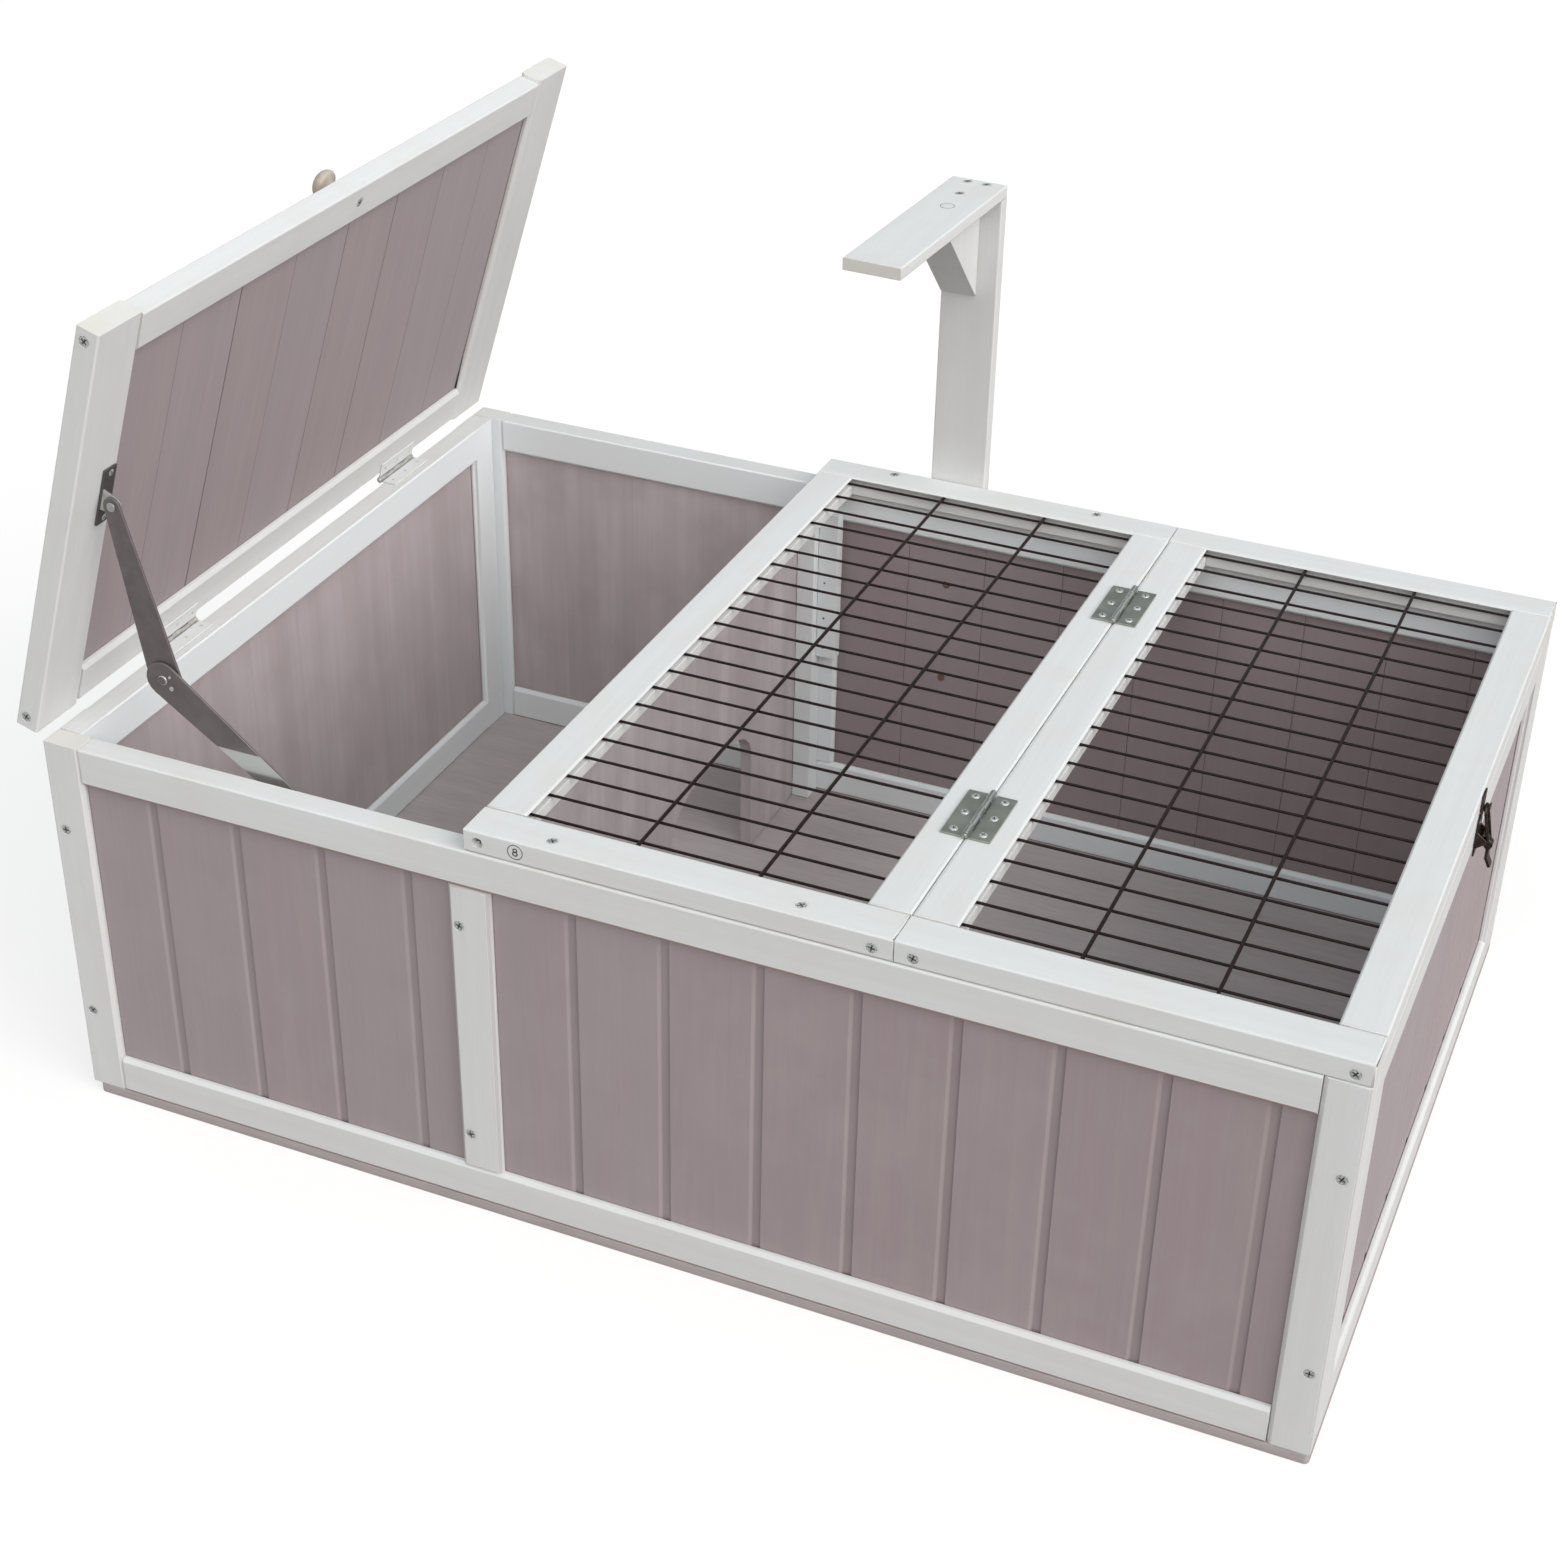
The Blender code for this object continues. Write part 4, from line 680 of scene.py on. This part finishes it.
def grown(name, tree, settings, seed_mesh=None):
    """The plain mesh that a Geometry Nodes tree makes with the given inputs."""
    holder = add_object(name, seed_mesh or bpy.data.meshes.new(name))
    modifier = holder.modifiers.new(name, "NODES")
    modifier.node_group = tree
    for item in tree.interface.items_tree:
        if item.item_type == "SOCKET" and item.in_out == "INPUT" and item.name in settings:
            modifier[item.identifier] = settings[item.name]
    bpy.context.view_layer.update()
    evaluated = holder.evaluated_get(bpy.context.evaluated_depsgraph_get())
    mesh = bpy.data.meshes.new_from_object(evaluated)
    bpy.data.objects.remove(holder)
    return mesh


long_radius = 0.00125
cross_radius = 0.00098
cross_count = 22
first_y = corner.y + 0.0395
last_y = corner.y + 0.5675
kerf_hold = 0.006
long_shares = (0.331, 0.691)
for panel, body in (("fixed_panel", "house_frame"), ("door", "door")):
    low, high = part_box(f"{panel}_wires")
    width = high.x - low.x
    opening = width - 2 * kerf_hold
    first_x, last_x = [low.x + kerf_hold + share * opening for share in long_shares]
    cross_step = (0, (last_y - first_y) / (cross_count - 1), 0)
    long_step = (last_x - first_x, 0, 0)
    bm = bmesh.new()
    for row in (
            (cross_count, (low.x, first_y, low.z + cross_radius), cross_step, (width, 0, 0), cross_radius),
            (2, (first_x, low.y, high.z - long_radius), long_step, (0, high.y - low.y, 0), long_radius)):
        settings = dict(zip(("Count", "First", "Step", "Run", "Radius"), row), Finish=wire_black)
        bm.from_mesh(grown("wires", rods, settings))
    set_piece(f"{panel}_wire_mat", bm, body, "wire_coating", wire_black, f"{panel}_wires", crease=50)


# Hinges
# Butt hinges pressed from zinc plated sheet, with rolled knuckles on a riveted pin. Two lie flat
# across the gap between the wire panels, and two stand between the lid and the left wall.
metal_wear, given, result = node_group("metal_wear", "ShaderNodeTree", (
    ("Point", "Vector"), ("Size", "Float", 0.004)), (("Clouds", "Float"), ("Specks", "Float")))
cloud_scale = maths(metal_wear, "DIVIDE", 1.0, given["Size"])
speck_scale = maths(metal_wear, "MULTIPLY", cloud_scale, 7.0)
for output, scale, detail in (("Clouds", cloud_scale, 4.0), ("Specks", speck_scale, 2.0)):
    noise = add_node(metal_wear, "TexNoise", Vector=given["Point"], Scale=scale, Detail=detail)
    feed(metal_wear, result[output], noise.outputs["Fac"])


def metal_finish(name, dark, light, roughness, metallic, size=0.004, bump=0.00004, edge_wear_and_highlight=0.3):
    """A metal with cloudy tone and fine specks; edge_wear_and_highlight is how bright its marked arrises are
    painted, as wear and as a painted highlight.
    """
    made, tree, shader = new_finish(name)
    point = add_node(tree, "TexCoord").outputs["Object"]
    wear = add_node(tree, "Group", {"node_tree": metal_wear}, Point=point, Size=size).outputs
    shader["Metallic"].default_value = metallic
    tint = blend(tree, spread(tree, wear["Clouds"], 0.35, 0.65), dark, light)
    # Marked arrises are painted brighter, as wear and as a painted highlight.
    bright = [min(0.8, 2.6 * c) for c in light]
    tint = blend(tree, maths(tree, "MULTIPLY", face_mark(tree, "arris"), edge_wear_and_highlight), tint, bright)
    set_surface(tree, tint, spread(tree, wear["Clouds"], 0.3, 0.7, *roughness), wear["Specks"], bump)
    return made, tree, point, tint


def overlay(tree, tint, share, colour, metallic, roughness):
    """Lay a second colour over part of a metal, with its own metallic value and roughness."""
    shader = tree.nodes["Principled BSDF"].inputs
    feed(tree, shader["Base Color"], blend(tree, share, tint, colour))
    plated = shader["Metallic"].default_value
    feed(tree, shader["Metallic"], spread(tree, share, 0, 1, plated, metallic))
    polished = shader["Roughness"].links[0].from_socket
    feed(tree, shader["Roughness"], blend(tree, share, polished, roughness, "FLOAT"))


def press_metal(finish, node, body, slot_name, paint, ease, least, crease, change=None):
    """A metal piece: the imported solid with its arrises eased, and changed if need be."""
    bm = take_shape(node)
    sand(bm, ease, least=least, angle=50)
    if change:
        change(bm)
    set_piece(f"{finish}_{node}", bm, body, slot_name, paint, node, crease=crease)


def paint_barrel_highlights(bm):
    """The upper side of the barrels gets a painted highlight, every other face a faint one."""
    painted_reflection = bm.faces.layers.float["arris"]
    for face in bm.faces:
        on_barrel = face.calc_center_median().z > corner.z + 0.3008
        face[painted_reflection] = 0.8 if on_barrel and 0.80 < face.normal.z < 0.97 else 0.1


# The hinges' barrels carry painted highlights along their upper side.
zinc_plate, tree, point, tint = metal_finish(
    "zinc_plate", (0.285, 0.305, 0.262), (0.40, 0.42, 0.37), (0.26, 0.38), 0.85, 0.014, edge_wear_and_highlight=0.9)
for side in ("front", "back"):
    for part, body in (("panel_leaf", "house_frame"), ("door_leaf", "door"), ("pin", "house_frame")):
        press_metal(
            "zinc", f"door_hinge_{part}_{side}", body, "zinc_steel", zinc_plate,
            0.00016, 0.0010, 50, paint_barrel_highlights)

# The leaves between lid and wall are painted over, and their barrels stay bare round the pin.
lid_axis = Vector((-0.44285, corner.y, 0.2906))
painted_zinc, tree, point, tint = metal_finish(
    "painted_zinc", (0.55, 0.545, 0.515), (0.70, 0.69, 0.66), (0.30, 0.44), 0.60)
from_pin = vector_maths(tree, "SUBTRACT", point, (lid_axis.x, 0, lid_axis.z))
reach = vector_maths(tree, "LENGTH", vector_maths(tree, "MULTIPLY", from_pin, (1, 0, 1)))
overlay(tree, tint, spread(tree, reach, 0.0031, 0.0036), (0.735, 0.745, 0.740), 0.0, 0.55)
for side in ("front", "back"):
    for part, body in (("wall_leaf", "house_frame"), ("lid_leaf", "lid")):
        press_metal(
            "painted", f"lid_hinge_{part}_{side}", body, "zinc_steel", painted_zinc, 0.00012, 0.0010, 50)


# Lid
# A white frame of two stiles with two rails let in between them, boarded like the walls, with a
# turned beech knob on its outer face. It stands open 72.8 degrees over the left wall.
lid_lean = math.radians(72.8)
lid_way = Vector((math.cos(lid_lean), 0, math.sin(lid_lean)))
lid_out = Vector((-math.sin(lid_lean), 0, math.cos(lid_lean)))
for member in ("front_stile", "back_stile", "hinge_rail", "free_rail"):
    paint_member("lid_" + member, lid_way if "stile" in member else y_way, "lid", width=0.00035)

lid_face = 0.0016
lid_thick = 0.0165
lid_board_start = 0.0247
lid_board_run = 0.2626
outer_face = lid_axis + lid_board_start * lid_way + (lid_face + board_recess + board_thick) * lid_out
# The lid boards' inner face is painted a little paler, as painted light.
lay_boards(
    "lid_boards_stained", "lid_boards", outer_face, y_way, -lid_out, lid_way, lid_board_run,
    (0.045, 0.551), 0.0587, 0.0656, "lid",
    (0.00013, 0.00046, 0.00014, 0.00026, 0.00030, 0.00021, 0.00016), painted_light_and_shade=0.12)

knob_beech, tree, marks, figure = wood_finish("knob_beech", 0.0009, 0.004, 10)
tint = lay_over(tree, (0.53, 0.47, 0.39), figure, (
    ((0.46, 0.40, 0.32), "Bands", 0.35, 0.65),
    ((0.42, 0.32, 0.23), "Streaks", 0.5, 0.75, 0, 0.35)))
set_surface(tree, tint, 0.42, figure["Streaks"], 0.00004)

knob_at = lid_axis + 0.2946 * lid_way + house_deep / 2 * y_way
knob_seam = 0.0003
knob_base = knob_at + (lid_face + lid_thick + knob_seam) * lid_out
knob_tall = 0.0185
dome_radius = 0.0108
dome_start = 0.0112
dome_steps = 11
knob_profile = [
    (0, 0), (0.0060, 0), (0.0062, 0.0003), (0.0062, 0.0016), (0.0056, 0.0024), (0.0049, 0.0038),
    (0.0048, 0.0052), (0.0052, 0.0066), (0.0066, 0.0078), (0.0088, 0.0086), (0.0101, 0.0094),
    (0.0107, 0.0104)]
for k in range(dome_steps):
    angle = math.pi / 2 * k / dome_steps
    rise = dome_start + (knob_tall - dome_start) * math.sin(angle)
    knob_profile.append((dome_radius * math.cos(angle), rise))
knob_profile.append((0, knob_tall))


def ring(bm, at, right, up, wide, tall, sides):
    """New points round a centre, wide along right and tall along up."""
    spin = [math.tau * k / sides for k in range(sides)]
    return [bm.verts.new(at + wide * math.cos(a) * right + tall * math.sin(a) * up) for a in spin]


def turned(bm, profile, at, axis, sides=32):
    """A solid turned about an axis from (radius, rise) points, which start and end at radius 0."""
    side = axis.orthogonal().normalized()
    other = axis.cross(side)
    rings = [ring(bm, at + rise * axis, side, other, radius, radius, sides) for radius, rise in profile[1:-1]]
    poles = [bm.verts.new(at + rise * axis) for radius, rise in (profile[0], profile[-1])]
    for k in range(sides):
        j = (k + 1) % sides
        bm.faces.new((poles[0], rings[0][j], rings[0][k]))
        for lower, upper in zip(rings, rings[1:]):
            bm.faces.new((lower[k], lower[j], upper[j], upper[k]))
        bm.faces.new((rings[-1][k], rings[-1][j], poles[1]))


bm = bmesh.new()
mark_layers(bm)
turned(bm, knob_profile, knob_base, lid_out, 48)
face_out(bm)
lay_grain(bm, lid_out, 0.6)
set_piece("beech_knob", bm, "lid", "knob_wood", knob_beech, "lid_knob", crease=60)


# Folding stay
# Two flat steel arms with round ends, riveted together at the elbow, to a bracket on the lid and to
# a stud on the front wall. The arms are coated dark grey and the brackets are zinc plated.
stay_grey, tree, point, tint = metal_finish(
    "stay_grey", (0.172, 0.147, 0.147), (0.210, 0.182, 0.181), (0.36, 0.48), 0.5, 0.010)
# A bright patch on the lower arm's front, just below the wall's top edge, is a painted reflection.
reflection_top = floor_thick + 0.2952
split = add_node(tree, "SeparateXYZ", Vector=point).outputs
below = spread(tree, split["Z"], reflection_top, reflection_top - 0.0006)
above = spread(tree, split["Z"], reflection_top - 0.0145, reflection_top - 0.0125, 0.22, 1)
front = spread(tree, split["Y"], corner.y + 0.0236, corner.y + 0.0234)
painted_reflection = maths(tree, "MULTIPLY", maths(tree, "MULTIPLY", below, above), front)
overlay(tree, tint, painted_reflection, (0.84, 0.88, 0.85), 0.0, 0.4)
for part in ("upper", "lower"):
    press_metal("grey", f"stay_{part}_arm", f"stay_{part}", "stay_steel", stay_grey, 0.00022, 0.0008, 40)

bracket_zinc, tree, point, tint = metal_finish(
    "bracket_zinc", (0.42, 0.43, 0.41), (0.60, 0.61, 0.58), (0.28, 0.42), 0.8)
depth = vector_maths(tree, "DOT_PRODUCT", vector_maths(tree, "SUBTRACT", point, lid_axis), lid_out)
overlay(tree, tint, spread(tree, depth, -0.0010, -0.0006), (0.125, 0.115, 0.110), 0.6, 0.45)
for node, body in (("stay_lid_bracket", "lid"), ("stay_wall_bracket", "house_frame")):
    press_metal("zinc", node, body, "zinc_steel", bracket_zinc, 0.00020, 0.0012, 40)


def inside(x, y, z):
    """A place of the house, measured from its front left bottom corner."""
    return corner + Vector((x, y, z))


rivet_zinc, tree, point, tint = metal_finish(
    "rivet_zinc", (0.50, 0.48, 0.47), (0.70, 0.68, 0.67), (0.26, 0.36), 0.6, 0.001, 0.00001)
elbow = inside(0.0842, 0.0235, 0.3349)
rivet_profile = [
    (0, 0), (0.0033, 0), (0.0034, 0.0003), (0.0031, 0.0007), (0.0026, 0.0009), (0.0021, 0.0008),
    (0.0018, 0.0004), (0.0013, 0.0003), (0.0011, 0.0006), (0.0008, 0.0008), (0, 0.00085)]
stop_profile = [
    (0, 0), (0.0016, 0), (0.0016, 0.0004), (0.0012, 0.0006), (0.0008, 0.0003), (0.0004, 0.0002),
    (0, 0.0002)]
small_stop = [(0.62 * radius, rise) for radius, rise in stop_profile]
bm = bmesh.new()
mark_layers(bm)
turned(bm, rivet_profile, elbow, -y_way)
turned(bm, stop_profile, elbow + Vector((0.0062, 0, -0.0048)), -y_way)
turned(bm, small_stop, elbow + Vector((0.0057, 0, 0.0034)), -y_way)
face_out(bm)
set_piece("elbow_rivet_heads", bm, "stay_lower", "stay_steel", rivet_zinc, crease=30)


# Toggle latch
# A small hook latch in dark antique finish, its edges painted bright as wear and as a painted
# highlight: base, lever and wire loop on the right wall, and the catch that they pull down on the
# wire door's edge.
lever_gain = 0.00045


def fill_out(bm):
    """Make the lever a little fuller, but not past its outermost face."""
    bm.normal_update()
    outermost = max(vertex.co.x for vertex in bm.verts)
    for vertex in bm.verts:
        vertex.co += lever_gain * vertex.normal
        vertex.co.x = min(vertex.co.x, outermost)


antique, tree, point, tint = metal_finish(
    "antique_bronze", (0.022, 0.017, 0.016), (0.085, 0.062, 0.050), (0.26, 0.44), 0.8, 0.0022, edge_wear_and_highlight=0.8)
for node, body, change in (
        ("latch_base", "house_frame", None), ("latch_lever", "latch_lever", fill_out),
        ("latch_catch", "door", None)):
    press_metal("antique", node, body, "latch_bronze", antique, 0.00014, 0.0007, 45, change)

loop_foot = inside(0.889, 0.314, 0.259)
loop_rise = inside(0.8832, 0.314, 0.2866) - loop_foot
loop_half = 0.0043
loop_steps = 24
loop_path = [(-loop_half, 0), (loop_half, 0)]
for k in range(loop_steps + 1):
    angle = math.pi * k / loop_steps
    up = loop_rise.length - loop_half * (1 - math.sin(angle))
    loop_path.append((loop_half * math.cos(angle), up))
wire = bpy.data.curves.new("latch_wire", "CURVE")
wire.dimensions = "3D"
wire.bevel_depth = 0.0011
wire.bevel_resolution = 4
spline = wire.splines.new("POLY")
spline.points.add(len(loop_path) - 1)
for point, (across, up) in zip(spline.points, loop_path):
    point.co = (*(loop_foot + across * y_way + up * loop_rise.normalized()), 1)
spline.use_cyclic_u = True
bent = bpy.data.objects.new("latch_wire", wire)
bm = bmesh.new()
bm.from_mesh(bent.to_mesh())
mark_layers(bm)
face_out(bm)
bpy.data.objects.remove(bent)
set_piece("antique_latch_loop", bm, "latch_loop", "latch_bronze", antique, "latch_loop", crease=60)


# Lamp holder
# A white post screwed to the back wall, with an arm on top that reaches over the run and a
# three-cornered gusset in the angle.
arm_turn = math.radians(-2.9)
arm_side = Vector((math.cos(arm_turn), math.sin(arm_turn), 0))
arm_ahead = Vector((math.sin(arm_turn), -math.cos(arm_turn), 0))
for node, way in (("lamp_post", z_way), ("lamp_gusset", z_way), ("lamp_arm", arm_ahead)):
    paint_member(node, way)


# Screws
# Zinc plated wood screws with a cross recess, countersunk, with painted shade in a dark ring round
# the countersunk heads and in every cross recess. Those of the door hinges have raised heads, and
# two copper coloured ones hold the lamp post from inside.
screw_facts = (("facing", "FLOAT_VECTOR"), ("size", "FLOAT_VECTOR"), ("turn", "FLOAT"))
heads, given, result = node_group("heads_on_points", "GeometryNodeTree", (
    ("Geometry", "Geometry"), ("Head", "Object"), ("Finish", "Material")), (("Geometry", "Geometry"),))
read = {}
for name, kind in screw_facts:
    reader = add_node(heads, "InputNamedAttribute", {"data_type": kind}, Name=name)
    read[name] = next(output for output in reader.outputs if output.enabled)
aim = add_node(heads, "FunctionNodeAlignRotationToVector", {"axis": "Z"}, Vector=read["facing"])
twist = add_node(heads, "FunctionNodeAxisAngleToRotation", Axis=(0, 0, 1), Angle=read["turn"])
set_way = add_node(
    heads, "FunctionNodeRotateRotation", {"rotation_space": "LOCAL"},
    Rotation=aim.outputs[0], Rotate_By=twist.outputs[0])
head_shape = add_node(heads, "ObjectInfo", {"transform_space": "ORIGINAL"}, Object=given["Head"])
placed = add_node(
    heads, "InstanceOnPoints", Points=given["Geometry"], Instance=head_shape.outputs["Geometry"],
    Rotation=set_way.outputs[0], Scale=read["size"])
end_tree(heads, placed.outputs[0], given["Finish"], result)


def screw_head(name, rings):
    """A head of radius 1 with a cross recess, made of (radius, rise, dark) rings from its face down;
    dark is how much painted shade a ring's faces carry, and the cross recess carries it too.
    """
    slot = 0.12
    arm = 0.56
    cross = []
    for k in range(4):
        spin = Matrix.Rotation(k * math.pi / 2, 2)
        cross += [spin @ Vector(point) for point in ((slot, slot), (slot, arm), (-slot, arm))]
    bm = bmesh.new()
    sunk = bm.faces.layers.float.new("sunk")
    rims = [ring(bm, rise * z_way, x_way, y_way, radius, radius, 24) for radius, rise, dark in rings]
    mouth = [bm.verts.new((x, y, 0.15)) for x, y in cross]
    pit = [bm.verts.new((0.7 * x, 0.7 * y, -0.45)) for x, y in cross]
    darkness = [dark for radius, rise, dark in rings]
    for upper, lower, dark in list(zip(rims, rims[1:], darkness)) + [(mouth, pit, 0.8)]:
        for k in range(len(upper)):
            j = (k + 1) % len(upper)
            bm.faces.new((upper[k], upper[j], lower[j], lower[k]))[sunk] = dark
    bm.faces.new(rims[-1])
    bm.faces.new(pit)[sunk] = 1.0
    edges = []
    for loop in (rims[0], mouth):
        edges += [bm.edges.get((loop[k - 1], loop[k])) for k in range(len(loop))]
    bmesh.ops.triangle_fill(bm, use_beauty=True, use_dissolve=False, edges=edges)
    face_out(bm)
    return build(name, bm)


drives = {}
turns = random.Random(5)


def drive(body, at, facing, kind="screws", radius=0.0043, sink=0.0004, rise=0.50):
    """Note one screw of a body; sink is how deep the rim of its head lies."""
    size = (radius, radius, radius * rise)
    spot = (at - sink * facing, facing, size, math.tau * turns.random())
    drives.setdefault((body, kind), []).append(spot)


post_screws = ((0.0085, (0.0645, 0.214)), (0.3071, (0.055, 0.223)), (0.8715, (0.0645, 0.214)))
edge_rise = 0.2875
lid_edge_out = 0.0112
for face_y, rail_y, facing in ((0, 0.0010, -y_way), (house_deep, 0.5957, y_way)):
    for x, heights in post_screws:
        for z in heights:
            drive("house_frame", inside(x, face_y, z), facing)
    drive("house_frame", inside(0.3228, rail_y, edge_rise + 0.0016), facing, sink=0.0040)
    drive("house_frame", inside(0.5835, rail_y, edge_rise), facing)
    for x in (0.6092, 0.8692):
        drive("door", inside(x, rail_y, edge_rise), facing)
    for along in (0.0112, 0.3008):
        drive("lid", lid_axis + along * lid_way + face_y * y_way + lid_edge_out * lid_out, facing)
for y in (0.0120, 0.5892):
    for x in (0.3693, 0.5343):
        drive("house_frame", inside(x, y, panel_top), z_way)
drive("lid", knob_at + lid_face * lid_out, -lid_out)

arm_foot = inside(0.419, 0.6076, 0.5362)
for side, ahead in ((-0.0075, 0.00565), (0.0075, 0.00565), (-0.0025, 0.0323)):
    drive("house_frame", arm_foot + side * arm_side + ahead * arm_ahead, z_way)

door_hinge_starts = (0.120, 0.4265)
door_hinge_length = 0.0535
lid_hinge_starts = (0.1315, 0.4335)
lid_hinge_length = 0.049
leaf_out = 0.0087
for share in (0.12, 0.50, 0.88):
    for start in door_hinge_starts:
        for side, body in ((-1, "house_frame"), (1, "door")):
            at = inside(0.5977 + side * 0.0097, start + share * door_hinge_length, 0.29875)
            drive(body, at, z_way, "small_screws", 0.0029, 0, 1.6)
    for start in lid_hinge_starts:
        beside = lid_axis + (start + share * lid_hinge_length) * y_way
        for body, at, facing in (
                ("house_frame", beside + Vector((leaf_out, 0, -0.00015)), z_way),
                ("lid", beside + leaf_out * lid_way + 0.00015 * lid_out, -lid_out)):
            drive(body, at, facing, "painted_screws", 0.0022, 0.0001, 0.35)
for step in (-1, 1):
    on_lid = lid_axis + (0.1793 + step * 0.0172) * lid_way + 0.0352 * y_way - 0.0002 * lid_out
    for body, at, facing, radius in (
            ("lid", on_lid, -lid_out, 0.0024),
            ("house_frame", inside(0.1794 + step * 0.01275, 0.0198, 0.2637), y_way, 0.0024),
            ("house_frame", inside(0.8815, 0.314 + step * 0.0035, 0.2755), x_way, 0.0014)):
        drive(body, at, facing, "small_screws", radius, 0, 0.8)
for z in (0.130, 0.214):
    drive("house_frame", inside(0.419, 0.583, z), -y_way, "post_screws", 0.0031, -0.0003)

screw_finishes = {}
for name, dark, light, roughness, metallic, edge_wear_and_highlight, recess_shade in (
        ("zinc", (0.42, 0.45, 0.43), (0.68, 0.71, 0.69), (0.22, 0.36), 0.45, 0.3, (0.075, 0.055, 0.048)),
        ("painted", (0.68, 0.685, 0.68), (0.73, 0.735, 0.73), (0.45, 0.55), 0, 0, (0.45, 0.44, 0.43)),
        ("copper", (0.24, 0.135, 0.095), (0.42, 0.27, 0.20), (0.28, 0.42), 0.8, 0.3, (0.05, 0.03, 0.025))):
    made, tree, point, tint = metal_finish(
        name + "_screw", dark, light, roughness, metallic, 0.0012, 0.00001, edge_wear_and_highlight)
    # The sunk faces round the head and in the cross recess get painted shade.
    overlay(tree, tint, face_mark(tree, "sunk"), recess_shade, 0.0, 0.6)
    screw_finishes[name] = made
plain_head = screw_head("plain_head", (
    (0.70, 0.15, 0), (0.86, 0.10, 0), (1.0, 0.0, 0), (1.0, -0.10, 0), (0.46, -0.60, 0)))
countersunk_head = screw_head("countersunk_head", (
    (0.70, 0.15, 0), (0.80, 0.10, 0), (0.87, 0.0, 0.6), (0.88, -0.16, 1), (1.00, -0.10, 1), (1.09, 0.20, 0.9),
    (1.11, 0.10, 1), (1.09, -0.30, 0), (0.46, -0.60, 0)))


def set_screws(name, body, kind, finish, head):
    """Put a head on each noted screw of one kind on one body."""
    spots = drives[body, kind]
    points = bpy.data.meshes.new(name)
    points.from_pydata([spot[0] for spot in spots], [], [])
    for k, (fact, data_type) in enumerate(screw_facts):
        layer = points.attributes.new(fact, data_type, "POINT")
        for item, spot in zip(layer.data, spots):
            setattr(item, "value" if data_type == "FLOAT" else "vector", spot[k + 1])
    bm = bmesh.new()
    bm.from_mesh(grown(name, heads, {"Head": head, "Finish": screw_finishes[finish]}, points))
    set_piece(name, bm, body, "zinc_steel", screw_finishes[finish], crease=40)


for body in ("house_frame", "door", "lid"):
    for kind, finish, head in (
            ("screws", "zinc", countersunk_head), ("small_screws", "zinc", plain_head),
            ("painted_screws", "painted", plain_head)):
        if (body, kind) in drives:
            set_screws(f"{body}_{kind}", body, kind, finish, head)
set_screws("lamp_post_screws", "house_frame", "post_screws", "copper", plain_head)
bpy.data.objects.remove(plain_head)
bpy.data.objects.remove(countersunk_head)


# Number marks and nails
# A round paper mark with a printed ring and the figure 8 on the fixed wire panel's front edge, a
# plain one on the lamp arm, and the heads of the fine nails in the short batten.
paper, tree, marks, figure = wood_finish("mark_paper", 0.0006, 0.004, 2)
tint = blend(tree, spread(tree, figure["Clouds"], 0.4, 0.7), (0.74, 0.745, 0.74), (0.70, 0.70, 0.69))
set_surface(tree, tint, 0.5, figure["Streaks"], 0.00001)
ink, tree, marks, figure = wood_finish("mark_ink", 0.0005, 0.003, 2)
tint = blend(tree, spread(tree, figure["Streaks"], 0.35, 0.7), (0.015, 0.014, 0.016), (0.06, 0.057, 0.06))
set_surface(tree, tint, 0.5)


def printed_ring(bm, at, right, up, wide, tall, line, proud=0.00008):
    """A flat oval ring of print with its middle at a point."""
    out = right.cross(up)
    loops = []
    for shrink, rise in ((0, 0), (0, proud), (line, proud), (line, 0)):
        loops.append(ring(bm, at + rise * out, right, up, wide - shrink, tall - shrink, 40))
    for near, far in zip(loops, loops[1:] + loops[:1]):
        for k in range(40):
            j = (k + 1) % 40
            bm.faces.new((near[k], near[j], far[j], far[k]))


paper_thick = 0.0001
paper_profile = [(0, 0), (0.0055, 0), (0.0055, paper_thick), (0, paper_thick)]
number_rings = (
    (0, 0.0053, 0.0053, 0.00050), (0.00130, 0.00165, 0.00150, 0.00075),
    (-0.00130, 0.00195, 0.00175, 0.00085))
plain_ring = ((0, 0.0053, 0.0053, 0.00035),)
for name, at, right, up, rings in (
        ("number", inside(0.3492, 0.0010, 0.2897), x_way, z_way, number_rings),
        ("arm", inside(0.4167, 0.5452, 0.5362), arm_side, -arm_ahead, plain_ring)):
    out = right.cross(up)
    bm = bmesh.new()
    turned(bm, paper_profile, at, out, 40)
    face_out(bm)
    set_piece(f"{name}_mark_paper", bm, "house_frame", "white_paint", paper)
    bm = bmesh.new()
    for rise, wide, tall, line in rings:
        printed_ring(bm, at + paper_thick * out + rise * up, right, up, wide, tall, line)
    face_out(bm)
    set_piece(f"{name}_mark_print", bm, "house_frame", "white_paint", ink)

nail_steel, tree, point, tint = metal_finish(
    "nail_steel", (0.10, 0.09, 0.085), (0.20, 0.18, 0.17), (0.4, 0.5), 0.7, 0.0008, 0.00001)
nail_profile = [(0, -0.0004), (0.0008, -0.0004), (0.0009, 0.00015), (0.0006, 0.0003), (0, 0.0003)]
bm = bmesh.new()
for z in (0.142, 0.169, 0.201):
    turned(bm, nail_profile, inside(0.3215, 0.5677, z), -y_way, 16)
face_out(bm)
set_piece("batten_nails", bm, "house_frame", "zinc_steel", nail_steel)
